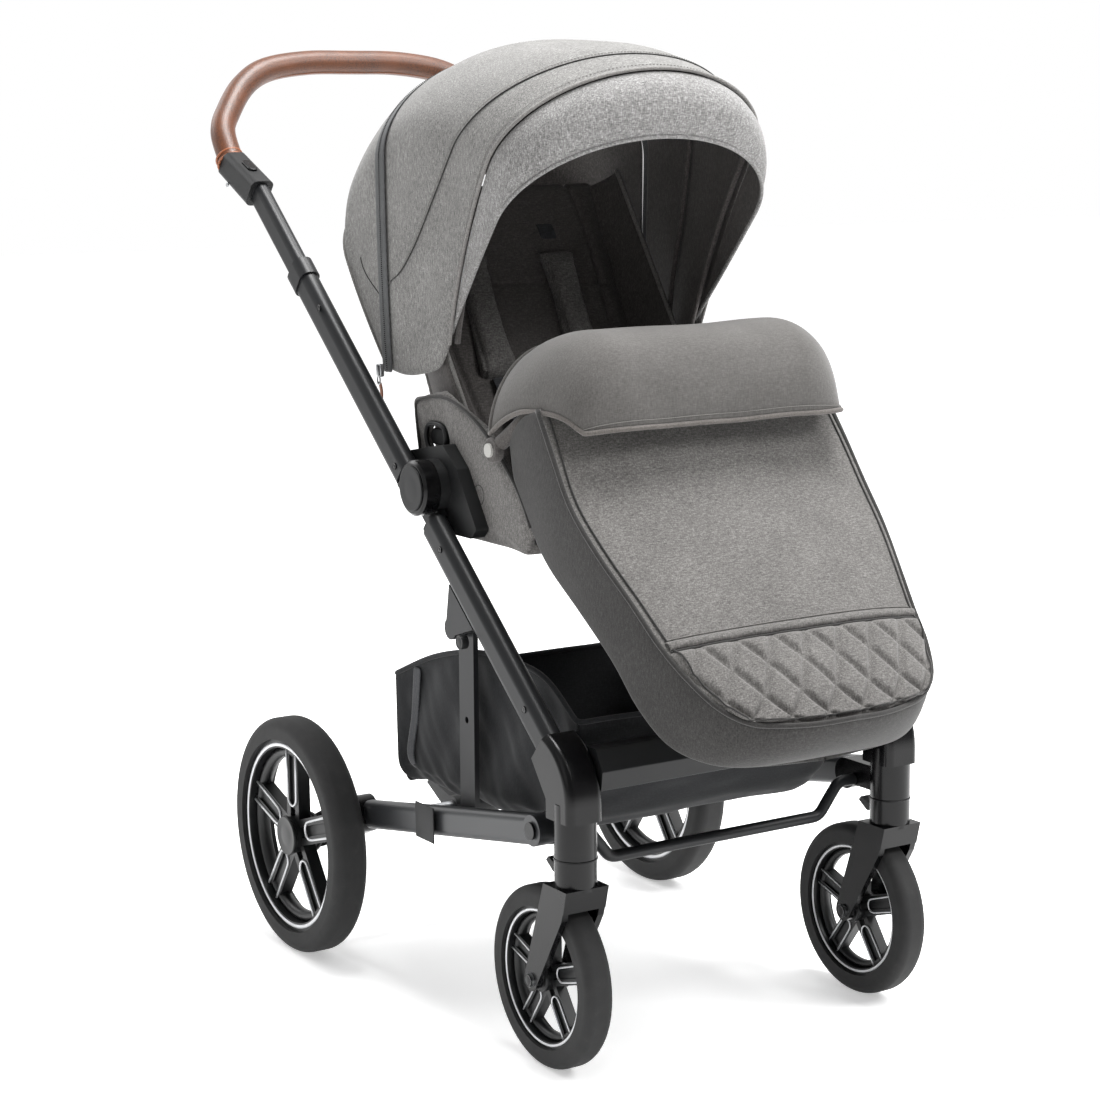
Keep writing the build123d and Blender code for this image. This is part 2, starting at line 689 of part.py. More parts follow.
HOOD_CORNER = 110
VISOR_CORNER = 100
HINGE_R = 12
HOOD_HALF = 200
save(hood_shell(190, [(52, 290), (58, 338), (66, 362), (76, 373), (86, 377)], 8, HOOD_CORNER), "hood_rear")
save(hood_shell(196.5, [(127.2, 446), (130.5, 440), (134, 424), (137.5, 400)], 76, VISOR_CORNER), "visor")
front_arches = hood_shell(HOOD_HALF, [(84, 386), (94, 399), (105, 413), (116, 432), (126.7, 450)], 8,
                          HOOD_CORNER)
with BuildPart() as hood_front:
    add(front_arches.part)
    for name, sign in SIDES:
        with BuildSketch(side(sign * (HOOD_HALF - CLOTH))):
            with BuildLine():
                Polyline((95, 790), (102, 768), (216, 759), (200, 850), (108, 826), close=True)
            make_face()
        extrude(amount=sign * CLOTH)
        with BuildSketch(side(sign * (HOOD_HALF - 9))):
            with Locations(HOOD_PIVOT):
                Circle(HINGE_R)
        extrude(amount=sign * 9)
save(hood_front, "hood_front")
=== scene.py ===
# %% [markdown]
# # A baby stroller
# The frame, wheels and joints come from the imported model. This lesson dresses it: leather on the push handle,
# paint and mouldings on the frame, foam tyres, and above all the cloth: hood, seat, leg boot and basket.

import json
from math import cos, exp, hypot, pi, radians, sin, sqrt

import bpy
from mathutils import Matrix, Vector, noise


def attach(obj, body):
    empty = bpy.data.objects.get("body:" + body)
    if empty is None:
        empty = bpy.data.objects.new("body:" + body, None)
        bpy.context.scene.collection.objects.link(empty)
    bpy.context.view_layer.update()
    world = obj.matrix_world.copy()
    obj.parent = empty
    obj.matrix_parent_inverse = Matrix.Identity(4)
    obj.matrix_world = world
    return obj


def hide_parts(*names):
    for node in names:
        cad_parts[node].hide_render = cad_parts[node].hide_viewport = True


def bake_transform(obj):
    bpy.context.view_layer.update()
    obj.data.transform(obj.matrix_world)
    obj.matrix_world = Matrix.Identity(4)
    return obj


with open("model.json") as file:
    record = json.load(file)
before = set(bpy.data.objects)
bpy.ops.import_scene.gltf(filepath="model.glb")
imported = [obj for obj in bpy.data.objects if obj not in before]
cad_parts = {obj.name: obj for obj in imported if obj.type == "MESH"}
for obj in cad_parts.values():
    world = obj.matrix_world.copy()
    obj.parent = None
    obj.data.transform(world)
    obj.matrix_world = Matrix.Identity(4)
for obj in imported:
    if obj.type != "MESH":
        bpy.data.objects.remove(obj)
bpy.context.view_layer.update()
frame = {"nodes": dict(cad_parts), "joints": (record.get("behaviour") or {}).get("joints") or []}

# %% [markdown]
# Side-view points below are given as (y, z) on the drawing that the frame was made from. The drawing's origin
# line is a fixed distance ahead of the model's origin, and the fold joint tells how far.

# %% Places
joints = {joint["name"]: joint for joint in frame["joints"]}
FOLD_Y = 0.0548
MID_Y = FOLD_Y - joints["fold"]["pos_m"][1]
SIDES = (("left", 1), ("right", -1))


def at(x, y, z):
    """A point of the drawing in the model's frame."""
    return Vector((x, y - MID_Y, z))


def blend_points(points, t):
    """The point at t, from 0 to 1, on a smooth curve through the points."""
    spans = len(points) - 1
    place = min(max(t, 0.0), 1.0) * spans
    i = min(int(place), spans - 1)
    f = place - i
    p = [Vector(points[min(max(k, 0), spans)]) for k in (i - 1, i, i + 1, i + 2)]
    if i == 0:
        p[0] = p[1] * 2 - p[2]
    if i == spans - 1:
        p[3] = p[2] * 2 - p[1]
    return 0.5 * (p[1] * 2 + (p[2] - p[0]) * f + (p[0] * 2 - p[1] * 5 + p[2] * 4 - p[3]) * f * f
                  + (p[1] * 3 - p[0] - p[2] * 3 + p[3]) * f ** 3)


def smooth(t):
    """An ease from 0 to 1."""
    t = min(max(t, 0.0), 1.0)
    return t * t * (3 - 2 * t)


# %% [markdown]
# The camera stands at the stroller's front right, a little above the hood, and looks slightly down. It is far
# away with a long lens, so the wheels stay nearly true ovals.

# %% Camera
CAMERA_AT = (-1.6278, -2.4641, 1.0410)
CAMERA_RIGHT = Vector((0.84771, -0.53031, -0.01235))
CAMERA_UP = Vector((0.09816, 0.13395, 0.98611))
bpy.ops.object.select_all(action="DESELECT")
bpy.ops.object.camera_add(location=at(*CAMERA_AT))
camera = bpy.context.object
back = CAMERA_RIGHT.cross(CAMERA_UP).normalized()
up = back.cross(CAMERA_RIGHT).normalized()
camera.matrix_world = Matrix.Translation(at(*CAMERA_AT)) @ Matrix((CAMERA_RIGHT, up, back)).transposed().to_4x4()
camera.data.lens = 80.3
camera.data.sensor_width = 36
camera.data.clip_end = 50
bpy.context.scene.camera = camera

# %% [markdown]
# A plain pale floor and soft studio light: a key from the front on the left child side, a strong light from
# above, a weak fill and a rim light. The sky is white behind the object and falls off towards the front, so
# that the sides that face away from the lamps keep their shade.

# %% Studio
def deselect():
    """Nothing selected, so that the next operator acts only on what it adds."""
    bpy.ops.object.select_all(action="DESELECT")


deselect()
bpy.ops.mesh.primitive_plane_add(size=40, location=(0, 0, 0))
floor = bpy.context.object
floor.name = "floor"
LIGHTS = (("key", (2.2, -3.0, 3.6), 1.8, 150), ("fill", (-3.2, -1.6, 2.2), 2.6, 14), ("rim", (-1.4, 3.2, 2.8), 2.0, 45),
          ("top", (0.5, -0.2, 4.2), 1.8, 270))
for name, place, size, power in LIGHTS:
    deselect()
    bpy.ops.object.light_add(type="AREA", location=place)
    lamp = bpy.context.object
    lamp.name = name
    lamp.data.size = size
    lamp.data.energy = power
    lamp.rotation_euler = (Vector((0, 0, 0.6)) - Vector(place)).to_track_quat("-Z", "Y").to_euler()
world = bpy.data.worlds.new("studio")
bpy.context.scene.world = world
world.use_nodes = True
sky = world.node_tree
SKY_BRIGHT = Vector((0.50, 0.80, 0.33))
heading = sky.nodes.new("ShaderNodeTexCoord")
toward = sky.nodes.new("ShaderNodeVectorMath")
toward.operation = "DOT_PRODUCT"
toward.inputs[1].default_value = SKY_BRIGHT
level = sky.nodes.new("ShaderNodeMapRange")
level.inputs["From Min"].default_value = -0.5
level.inputs["From Max"].default_value = 0.78
level.inputs["To Min"].default_value = 0.22
level.inputs["To Max"].default_value = 1.0
sky.links.new(heading.outputs["Generated"], toward.inputs[0])
sky.links.new(toward.outputs["Value"], level.inputs["Value"])
sky.links.new(level.outputs["Result"], sky.nodes["Background"].inputs["Strength"])
sky.nodes["Background"].inputs["Color"].default_value = (1, 1, 1, 1)
bpy.context.scene.view_settings.view_transform = "Standard"

# %% [markdown]
# ## Finishes
# Each finish starts from the real material. Colours are written as on a colour card, in sRGB hex, and turned to
# the linear values that the shader wants.


# %% Shader helpers
def colour(card):
    """A colour card's hex value as linear red, green, blue and alpha."""
    parts = [int(card[i:i + 2], 16) / 255 for i in (1, 3, 5)]
    return tuple(c / 12.92 if c <= 0.04045 else ((c + 0.055) / 1.055) ** 2.4 for c in parts) + (1.0,)


def node(material, kind, links=None, **settings):
    """Adds one shader node with its settings; links gives an input a value or another node's output."""
    made = material.node_tree.nodes.new(kind)
    for key, value in settings.items():
        setattr(made, key, value)
    for key, value in (links or {}).items():
        if isinstance(value, bpy.types.NodeSocket):
            material.node_tree.links.new(value, made.inputs[key])
        else:
            made.inputs[key].default_value = value
    return made


def surface(name, **values):
    """A new material and its Principled shader, with values set on the shader's own sockets."""
    material = bpy.data.materials.new(name)
    material.use_nodes = True
    shader = material.node_tree.nodes["Principled BSDF"]
    for key, value in values.items():
        shader.inputs[key.replace("_", " ")].default_value = value
    return material, shader


def ramp(material, factor, stops):
    """A colour ramp through (position, hex) stops."""
    made = node(material, "ShaderNodeValToRGB", {"Fac": factor})
    elements = made.color_ramp.elements
    for _ in range(len(stops) - 2):
        elements.new(0.5)
    for element, (position, card) in zip(elements, stops):
        element.position = position
        element.color = colour(card)
    return made.outputs["Color"]


def link(material, output, shader, socket):
    material.node_tree.links.new(output, shader.inputs[socket])


# %% [markdown]
# Powder coat on steel and aluminium tube is a satin film with a very fine orange peel. Its pores are under
# 1 mm, so they only soften the gloss.


# %% Painted, moulded and metal finishes
def grained(name, card, roughness, grain_mm, height_mm, mottle=0.08, **values):
    """A coated or moulded surface: an even colour, a grain of the given size and slightly uneven gloss."""
    material, shader = surface(name, Roughness=roughness, **values)
    coords = node(material, "ShaderNodeTexCoord").outputs["Object"]
    cloud = node(material, "ShaderNodeTexNoise", {"Vector": coords, "Scale": 9.0, "Detail": 4.0})
    base = colour(card)
    low = tuple(c * (1 - mottle) for c in base[:3]) + (1,)
    high = tuple(min(1, c * (1 + mottle)) for c in base[:3]) + (1,)
    mix = node(material, "ShaderNodeMix", {0: cloud.outputs["Fac"], 6: low, 7: high}, data_type="RGBA")
    link(material, mix.outputs[2], shader, "Base Color")
    gloss = node(material, "ShaderNodeMapRange", {"Value": cloud.outputs["Fac"], "To Min": roughness - 0.05,
                                                  "To Max": roughness + 0.07})
    link(material, gloss.outputs["Result"], shader, "Roughness")
    grain = node(material, "ShaderNodeTexNoise", {"Vector": coords, "Scale": 1000 / grain_mm, "Detail": 2.0})
    bump = node(material, "ShaderNodeBump", {"Height": grain.outputs["Fac"], "Distance": height_mm / 1000,
                                             "Strength": 0.6})
    link(material, bump.outputs["Normal"], shader, "Normal")
    return material


powder_coat = grained("powder_coat_charcoal", "#141517", 0.42, 1.1, 0.05, Specular_IOR_Level=0.3)
graphite_tube = grained("anodised_graphite_tube", "#2c2d2f", 0.38, 1.3, 0.03, Metallic=0.25)
gloss_abs = grained("gloss_abs_black", "#050506", 0.24, 3.0, 0.02, Specular_IOR_Level=0.25)
grained_pp = grained("grained_polypropylene_black", "#0e0f10", 0.5, 1.0, 0.09, Specular_IOR_Level=0.35)
pale_button = grained("moulded_button_grey", "#a9a8a4", 0.45, 1.2, 0.04)
zinc_steel = grained("zinc_plated_steel", "#b9bbbd", 0.3, 1.0, 0.02, Metallic=1.0)
silver_paint = grained("silver_trim_paint", "#c9cacc", 0.36, 1.5, 0.02, Metallic=0.45)
rim_abs = grained("moulded_rim_black", "#0f1011", 0.42, 1.2, 0.05, Specular_IOR_Level=0.35)

# %% [markdown]
# Foam tyres are matt, a little dusty in their grooves, with a fine skin from the mould.

# %% Tyre foam
tyre_foam, shader = surface("eva_foam_tyre", Roughness=0.78)
coords = node(tyre_foam, "ShaderNodeTexCoord").outputs["Object"]
dust = node(tyre_foam, "ShaderNodeTexNoise", {"Vector": coords, "Scale": 55.0, "Detail": 6.0, "Roughness": 0.7})
link(tyre_foam, ramp(tyre_foam, dust.outputs["Fac"], [(0.3, "#101011"), (0.62, "#191919"), (0.85, "#272727")]), shader,
     "Base Color")
skin = node(tyre_foam, "ShaderNodeTexNoise", {"Vector": coords, "Scale": 900.0, "Detail": 3.0})
bump = node(tyre_foam, "ShaderNodeBump", {"Height": skin.outputs["Fac"], "Distance": 0.0002, "Strength": 0.5})
link(tyre_foam, bump.outputs["Normal"], shader, "Normal")

# %% [markdown]
# The grip's cover is imitation leather: a brown film with an embossed pebble grain of about 1.5 mm, darker in
# the grain's valleys, with a soft shine.

# %% Leather
grip_leather, shader = surface("imitation_leather_brown", Roughness=0.42, Sheen_Weight=0.05)
coords = node(grip_leather, "ShaderNodeTexCoord").outputs["Object"]
pebble = node(grip_leather, "ShaderNodeTexVoronoi", {"Vector": coords, "Scale": 620.0}, feature="F1")
wear = node(grip_leather, "ShaderNodeTexNoise", {"Vector": coords, "Scale": 26.0, "Detail": 5.0})
mixed = node(grip_leather, "ShaderNodeMath", {0: pebble.outputs["Distance"], 1: wear.outputs["Fac"]},
             operation="MULTIPLY")
browns = [(0.02, "#6b3b1e"), (0.22, "#593016"), (0.5, "#391e0d")]
link(grip_leather, ramp(grip_leather, mixed.outputs[0], browns), shader, "Base Color")
bump = node(grip_leather, "ShaderNodeBump", {"Height": pebble.outputs["Distance"], "Distance": 0.0004, "Strength": 0.5},
            invert=True)
link(grip_leather, bump.outputs["Normal"], shader, "Normal")

# %% [markdown]
# ## Cloth
# Melange cloth is woven from yarns that each mix light and dark fibres, so it reads as a fine uneven mottle with
# short streaks along the two thread directions. The threads are 0.4 mm, too fine to show, so they are drawn
# about four times as coarse.


# %% Woven cloth
def woven(name, cards, thread_mm=1.3, sheen=0.15, height_mm=0.22, contrast=(0.3, 0.72), blotch=0.12):
    """Cloth of mixed yarns. cards are its dark, middle and light colours."""
    material, shader = surface(name, Roughness=0.92, Sheen_Weight=sheen, Sheen_Roughness=0.5, Specular_IOR_Level=0.25)
    coords = node(material, "ShaderNodeTexCoord").outputs["Object"]
    threads = 1000 / thread_mm
    yarns = []
    for stretch in ((0.22, 1.0, 1.0), (1.0, 0.8, 0.22)):
        scale = [threads * s for s in stretch]
        mapped = node(material, "ShaderNodeMapping", {"Vector": coords, "Scale": scale})
        yarns.append(node(material, "ShaderNodeTexNoise", {"Vector": mapped.outputs["Vector"], "Scale": 1.0,
                                                           "Detail": 2.0}).outputs["Fac"])
    cloud = node(material, "ShaderNodeTexNoise", {"Vector": coords, "Scale": 22.0, "Detail": 3.0}).outputs["Fac"]
    both = node(material, "ShaderNodeMath", {0: yarns[0], 1: yarns[1]}, operation="ADD").outputs[0]
    half = node(material, "ShaderNodeMath", {0: both, 1: 0.5}, operation="MULTIPLY").outputs[0]
    tint = node(material, "ShaderNodeMath", {0: cloud, 1: blotch}, operation="MULTIPLY").outputs[0]
    value = node(material, "ShaderNodeMath", {0: half, 1: tint}, operation="ADD").outputs[0]
    value = node(material, "ShaderNodeMath", {0: value, 1: blotch / 2}, operation="SUBTRACT").outputs[0]
    low, high = contrast
    link(material, ramp(material, value, [(low, cards[0]), ((low + high) / 2, cards[1]), (high, cards[2])]), shader,
         "Base Color")
    bump = node(material, "ShaderNodeBump", {"Height": half, "Distance": height_mm / 1000, "Strength": 0.8})
    link(material, bump.outputs["Normal"], shader, "Normal")
    return material


hood_melange = woven("melange_cloth_grey", ("#484746", "#706f6d", "#999896"))
visor_melange = woven("melange_cloth_light", ("#4f4e4d", "#7b7a79", "#a9a8a7"))
seat_melange = woven("melange_cloth_seat", ("#403f3e", "#62605e", "#868482"))
boot_melange = woven("melange_cloth_warm", ("#3d3b3a", "#5c5a58", "#7b7977"))
# The boot's own melange darkened to about half: painted shade for the gusset on the boot's sides and toe and for the
# back panel under the legs.
boot_painted_shade_melange = woven("melange_cloth_painted_shade", ("#201f1f", "#302f2e", "#403f3e"))
flap_cloth = woven("brushed_cloth_warm_grey", ("#454341", "#52504e", "#5f5d5b"), 1.3, 0.2, 0.10, blotch=0.2)
liner_cloth = woven("liner_cloth_charcoal", ("#3a3737", "#4d4a48", "#656160"), 1.3, 0.2, 0.15)
basket_nylon = woven("ripstop_nylon_black", ("#101113", "#191a1c", "#242527"), 1.2, 0.1, 0.12)
piping_cord = woven("piping_cord_dark", ("#1d1c1c", "#2a2928", "#383635"), 1.0, 0.2, 0.2)
harness_web = woven("polyester_webbing", ("#232426", "#323336", "#434548"), 1.6, 0.2, 0.3)
zip_tape_cloth = woven("zip_tape_cloth", ("#353637", "#474849", "#5a5b5c"), 1.0, 0.15, 0.15, blotch=0.2)
binding_cloth = woven("binding_tape_grey", ("#5a5957", "#757371", "#908e8b"), 1.0, 0.2, 0.15)
flap_piping = woven("piping_cord_warm", ("#4a4643", "#5b5754", "#6e6966"), 1.0, 0.2, 0.15)
tan_leather = grained("tan_leather_trim", "#8a4e2c", 0.5, 1.2, 0.2)
seam_thread = grained("polyester_thread_grey", "#6a6865", 0.7, 0.5, 0.05)
tan_thread = grained("waxed_thread_tan", "#7c4726", 0.6, 0.5, 0.05)

floor_paint, shader = surface("studio_floor", Roughness=0.85, Emission_Strength=0.4)
shader.inputs["Emission Color"].default_value = (1, 1, 1, 1)
shader.inputs["Base Color"].default_value = colour("#fbfbfb")
floor.data.materials.append(floor_paint)

# %% [markdown]
# ## Making pieces
# A sheet starts as a grid primitive, and every vertex goes where a formula says, in two directions along the
# cloth. A solidify gives it its thickness and a subdivision rounds it.


# %% Piece helpers
def apply_all(piece):
    """Applies a piece's modifiers from top to bottom."""
    deselect()
    piece.select_set(True)
    bpy.context.view_layer.objects.active = piece
    for modifier in list(piece.modifiers):
        bpy.ops.object.modifier_apply(modifier=modifier.name)


def edit(piece, *steps):
    """Runs edit-mode operators on the whole of a piece."""
    deselect()
    piece.select_set(True)
    bpy.context.view_layer.objects.active = piece
    bpy.ops.object.mode_set(mode="EDIT")
    bpy.ops.mesh.select_all(action="SELECT")
    for step in steps:
        step()
    bpy.ops.object.mode_set(mode="OBJECT")


def weld():
    bpy.ops.mesh.remove_doubles(threshold=0.00002)


def outward():
    bpy.ops.mesh.normals_make_consistent(inside=False)


def face_away(piece, inside):
    """Turns an open sheet's faces so that most of them look away from a point."""
    total = 0.0
    for face in piece.data.polygons:
        total += face.area * face.normal.dot(face.center - inside)
    if total < 0:
        edit(piece, bpy.ops.mesh.flip_normals)


def finish(piece, name, body, materials, replaces=()):
    """Names a piece, gives it its materials, and makes it ride on a body."""
    piece.name = name
    piece.data.name = name
    if materials is not None:
        piece.data.materials.clear()
        for material in materials:
            piece.data.materials.append(material)
    if body:
        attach(piece, body)
    if replaces:
        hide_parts(*replaces)
    print(name, len(piece.data.polygons), "faces")
    return piece


def cloth(columns, rows, shape, inside, thick, materials, levels=1):
    """A grid whose points lie at shape(u, v), faces away from inside, with a wall inwards of it."""
    deselect()
    bpy.ops.mesh.primitive_grid_add(x_subdivisions=columns, y_subdivisions=rows, size=1)
    piece = bpy.context.object
    for material in materials:
        piece.data.materials.append(material)
    for vertex in piece.data.vertices:
        vertex.co = shape(vertex.co.x + 0.5, vertex.co.y + 0.5)
    face_away(piece, Vector(inside))
    wall = piece.modifiers.new("wall", "SOLIDIFY")
    wall.thickness = thick
    wall.offset = -1
    wall.material_offset = len(materials) - 1
    if levels:
        rounding = piece.modifiers.new("round", "SUBSURF")
        rounding.levels = levels
        rounding.render_levels = levels
    apply_all(piece)
    bpy.ops.object.shade_smooth()
    return piece


def tube(points, radius, closed=False, sides=3, detail=3):
    """A round cord along points, as a mesh."""
    deselect()
    bpy.ops.curve.primitive_nurbs_path_add()
    path = bpy.context.object
    curve = path.data
    curve.splines.clear()
    line = curve.splines.new("NURBS")
    line.points.add(len(points) - 1)
    for point, place in zip(line.points, points):
        point.co = (*place, 1)
    line.order_u = 3
    line.use_endpoint_u = not closed
    line.use_cyclic_u = closed
    line.resolution_u = detail
    curve.dimensions = "3D"
    curve.bevel_depth = radius
    curve.bevel_resolution = sides
    curve.use_fill_caps = not closed
    bpy.ops.object.convert(target="MESH")
    piece = bpy.context.object
    piece.location = (0, 0, 0)
    edit(piece, weld, outward)
    bpy.ops.object.shade_smooth()
    return piece


def turned(centre, radius, depth, axis=(1, 0, 0), bevel=0.0012, sides=40, recess=0.0):
    """A disc or pin with rounded edges turned along axis; a recess sinks its outer face inside a rim."""
    deselect()
    bpy.ops.mesh.primitive_cylinder_add(vertices=sides, radius=radius, depth=depth, location=(0, 0, 0))
    piece = bpy.context.object
    if recess:
        bpy.ops.object.mode_set(mode="EDIT")
        bpy.ops.mesh.select_all(action="DESELECT")
        bpy.ops.object.mode_set(mode="OBJECT")
        for face in piece.data.polygons:
            face.select = face.normal.z > 0.9
        bpy.ops.object.mode_set(mode="EDIT")
        bpy.ops.mesh.inset(thickness=radius * 0.3)
        bpy.ops.transform.translate(value=(0, 0, -recess))
        bpy.ops.mesh.inset(thickness=radius * 0.25)
        bpy.ops.transform.translate(value=(0, 0, recess * 0.5))
        bpy.ops.object.mode_set(mode="OBJECT")
    edge = piece.modifiers.new("edge", "BEVEL")
    edge.width = bevel
    edge.segments = 3
    edge.limit_method = "ANGLE"
    apply_all(piece)
    turn = Vector(axis).to_track_quat("Z", "Y").to_matrix().to_4x4()
    piece.data.transform(Matrix.Translation(Vector(centre)) @ turn)
    bpy.ops.object.shade_smooth_by_angle(angle=radians(40))
    return piece


def block(low, high, bevel=0.002, segments=3):
    """A box between two corners with rounded edges."""
    deselect()
    low = Vector(low)
    high = Vector(high)
    bpy.ops.mesh.primitive_cube_add(size=1, location=(low + high) / 2, scale=high - low)
    piece = bpy.context.object
    bpy.ops.object.transform_apply(location=True, rotation=True, scale=True)
    edge = piece.modifiers.new("edge", "BEVEL")
    edge.width = bevel
    edge.segments = segments
    apply_all(piece)
    bpy.ops.object.shade_smooth_by_angle(angle=radians(40))
    return piece


def joined(pieces):
    """Several meshes as one piece."""
    deselect()
    for piece in pieces:
        piece.select_set(True)
    bpy.context.view_layer.objects.active = pieces[0]
    if len(pieces) > 1:
        bpy.ops.object.join()
    return bpy.context.object


def stitches(path, count, length=0.0032, radius=0.00055):
    """Short raised stitches along path(t), for t from 0 to 1."""
    deselect()
    bpy.ops.mesh.primitive_uv_sphere_add(segments=5, ring_count=4, radius=1)
    piece = bpy.context.object
    base = [vertex.co.copy() for vertex in piece.data.vertices]
    faces = [tuple(face.vertices) for face in piece.data.polygons]
    places = []
    polygons = []
    for i in range(count):
        t = (i + 0.5) / count
        centre = Vector(path(t))
        way = Vector(path(min(t + 0.002, 1))) - Vector(path(max(t - 0.002, 0)))
        turn = way.to_track_quat("Z", "Y")
        first = len(places)
        for co in base:
            places.append(centre + turn @ Vector((co.x * radius, co.y * radius, co.z * length / 2)))
        polygons += [tuple(first + k for k in face) for face in faces]
    piece.data.clear_geometry()
    piece.data.from_pydata(places, [], polygons)
    bpy.ops.object.shade_smooth()
    return piece


def softened(node, voxel, shrink=0.0, pressure=0.0, cap=0.008, smooth_steps=3):
    """A padded copy of a CAD solid: remeshed, swollen by a cloth simulation with inner pressure, and rounded."""
    mesh = frame["nodes"][node].data.copy()
    piece = bpy.data.objects.new(node + "_soft", mesh)
    bpy.context.scene.collection.objects.link(piece)
    edit(piece, weld)
    if shrink:
        edit(piece, lambda: bpy.ops.transform.shrink_fatten(value=-shrink))
    grid = piece.modifiers.new("grid", "REMESH")
    grid.mode = "VOXEL"
    grid.voxel_size = voxel
    ease = piece.modifiers.new("ease", "SMOOTH")
    ease.iterations = smooth_steps
    apply_all(piece)
    if pressure:
        rest = [vertex.co.copy() for vertex in piece.data.vertices]
        swell = piece.modifiers.new("swell", "CLOTH")
        swell.settings.use_pressure = True
        swell.settings.uniform_pressure_force = pressure
        swell.settings.effector_weights.gravity = 0
        swell.point_cache.frame_start = 1
        swell.point_cache.frame_end = 20
        for step in range(1, 21):
            bpy.context.scene.frame_set(step)
        apply_all(piece)
        bpy.context.scene.frame_set(1)
        for vertex, home in zip(piece.data.vertices, rest):
            moved = vertex.co - home
            if moved.length > cap:
                vertex.co = home + moved * (cap / moved.length)
    rounding = piece.modifiers.new("round", "SUBSURF")
    rounding.levels = 1
    rounding.render_levels = 1
    apply_all(piece)
    bpy.ops.object.shade_smooth()
    return piece


def groove(piece, distance, width, depth):
    """Presses a sewn channel into a piece where distance(point) is small."""
    normals = [vertex.normal.copy() for vertex in piece.data.vertices]
    for vertex, normal in zip(piece.data.vertices, normals):
        away = distance(vertex.co)
        if abs(away) < width * 3:
            vertex.co -= normal * depth * exp(-(away / width) ** 2)


# %% [markdown]
# ## Frame
# The CAD tubes and mouldings have their real shapes, so they stay and get their real finishes.

# %% Finishes on the frame's own parts
FINISHES = {
    "main_tube": powder_coat, "upper_tube": powder_coat, "inner_tube": powder_coat, "strut": powder_coat,
    "basket_tube": powder_coat, "rail": graphite_tube, "knee": gloss_abs, "fork": gloss_abs,
    "fold_housing": gloss_abs, "front_cross_panel": grained_pp, "seat_mount": grained_pp, "suspension": gloss_abs,
    "brake_pedal": grained_pp, "grip_housing": grained_pp, "swivel_lock": grained_pp, "seat_release": grained_pp,
    "slide_button": gloss_abs, "bumper_button": pale_button, "rear_rim": rim_abs, "front_rim": rim_abs,
    "rear_tyre": tyre_foam, "front_tyre": tyre_foam, "rear_axle": zinc_steel, "front_axle": zinc_steel,
    "frame_rivets": gloss_abs, "handle_grip": grip_leather, "bumper_bar": liner_cloth, "basket": basket_nylon,
    "seat_shell": seat_melange, "seat_pad": liner_cloth, "backrest": liner_cloth, "harness_pads": seat_melange,
    "harness_buckle": grained_pp, "legrest": liner_cloth, "boot_upper": boot_melange, "boot_lower": boot_melange,
    "boot_flap": flap_cloth, "hood_rear": hood_melange, "hood_front": hood_melange, "visor": visor_melange,
}
for name, part in frame["nodes"].items():
    kind = name.removesuffix("_left").removesuffix("_right")
    part.data.materials.clear()
    part.data.materials.append(FINISHES[kind])

# %% [markdown]
# ## Hood
# The hood is cloth stretched over bows that fan out from a hinge on each side. In side view every rib of the
# cloth is a straight line from its hem to its crest, and across it is an upright wall that rounds over into a
# flat arch. So one formula gives a rib, and two smooth lines, the hem and the crest, give the whole shape.


# %% Hood shape
HOOD_HALF = 0.196
CREST_RISE = 0.124
HOOD_INSIDE = at(0, 0.10, 0.92)


def pair_line(points):
    """A smooth line through (y, z) points, as a function of t."""
    spots = [Vector((0, y, z)) for y, z in points]
    return lambda t: blend_points(spots, t)


def arch_point(low, top, half, u, bulge=0.0, crest=CREST_RISE):
    """The point at u across an arched rib, from the right hem (0) over the crest (0.5) to the left hem (1)."""
    sign = -1 if u < 0.5 else 1
    t = abs(u - 0.5) * 2
    length = (top - low).length
    crest = min(crest, length * 0.6)
    if t > 0.5:
        rise = (1 - t) / 0.5 * (length - crest)
        x = half
    else:
        turn = t / 0.5 * pi / 2
        rise = length - crest + crest * cos(turn)
        x = half * sin(turn)
    f = rise / length
    spot = low.lerp(top, f)
    return at(sign * x * (1 - 0.04 * (1 - f) ** 3), spot.y + bulge * sin(pi * f), spot.z)


def ripple(point, size, height):
    """A slow unevenness of stretched cloth."""
    return noise.noise(point / size) * height


front_low = pair_line([(0.216, 0.760), (0.180, 0.757), (0.140, 0.760), (0.100, 0.770), (0.078, 0.800)])
front_top = pair_line([(0.206, 1.146), (0.137, 1.161), (0.058, 1.162), (-0.024, 1.150), (-0.104, 1.118)])
rear_low = pair_line([(0.218, 0.762), (0.231, 0.764), (0.244, 0.768)])
rear_top = pair_line([(0.214, 1.142), (0.268, 1.125), (0.326, 1.094), (0.372, 1.050), (0.385, 1.000)])
visor_low = pair_line([(0.078, 0.802), (0.080, 0.806), (0.081, 0.812)])
visor_top = pair_line([(-0.103, 1.116), (-0.122, 1.099), (-0.128, 1.072), (-0.118, 1.041)])


def front_cloth(u, v, proud=0.0):
    """The front part of the hood, from the zip (v = 0) to the front edge (v = 1)."""
    half = HOOD_HALF - 0.008 * v + proud + 0.003 * sin(pi * v)
    spot = arch_point(front_low(v), front_top(v), half, u, 0.020 * v * v)
    middle = at(0, 0.10, 0.90)
    away = (spot - middle).normalized()
    dip = 0.004 * sin(pi * v) * sin(pi * u) ** 2
    return spot + away * (ripple(spot, 0.11, 0.004) * sin(pi * v) - dip + proud)


def rear_cloth(u, v):
    """The rear part, from under the zip (v = 0) to the rear edge (v = 1)."""
    spot = arch_point(rear_low(v), rear_top(v), HOOD_HALF - 0.004 - 0.004 * v, u, 0.008 * v)
    middle = at(0, 0.12, 0.90)
    return spot + (spot - middle).normalized() * ripple(spot, 0.09, 0.005) * sin(pi * v)


def visor_cloth(u, v):
    """The visor, from the hood's front edge (v = 0) to its own free edge (v = 1)."""
    spot = arch_point(visor_low(v), visor_top(v), HOOD_HALF - 0.009 - 0.002 * v, u, 0.018 * (1 - v))
    return spot


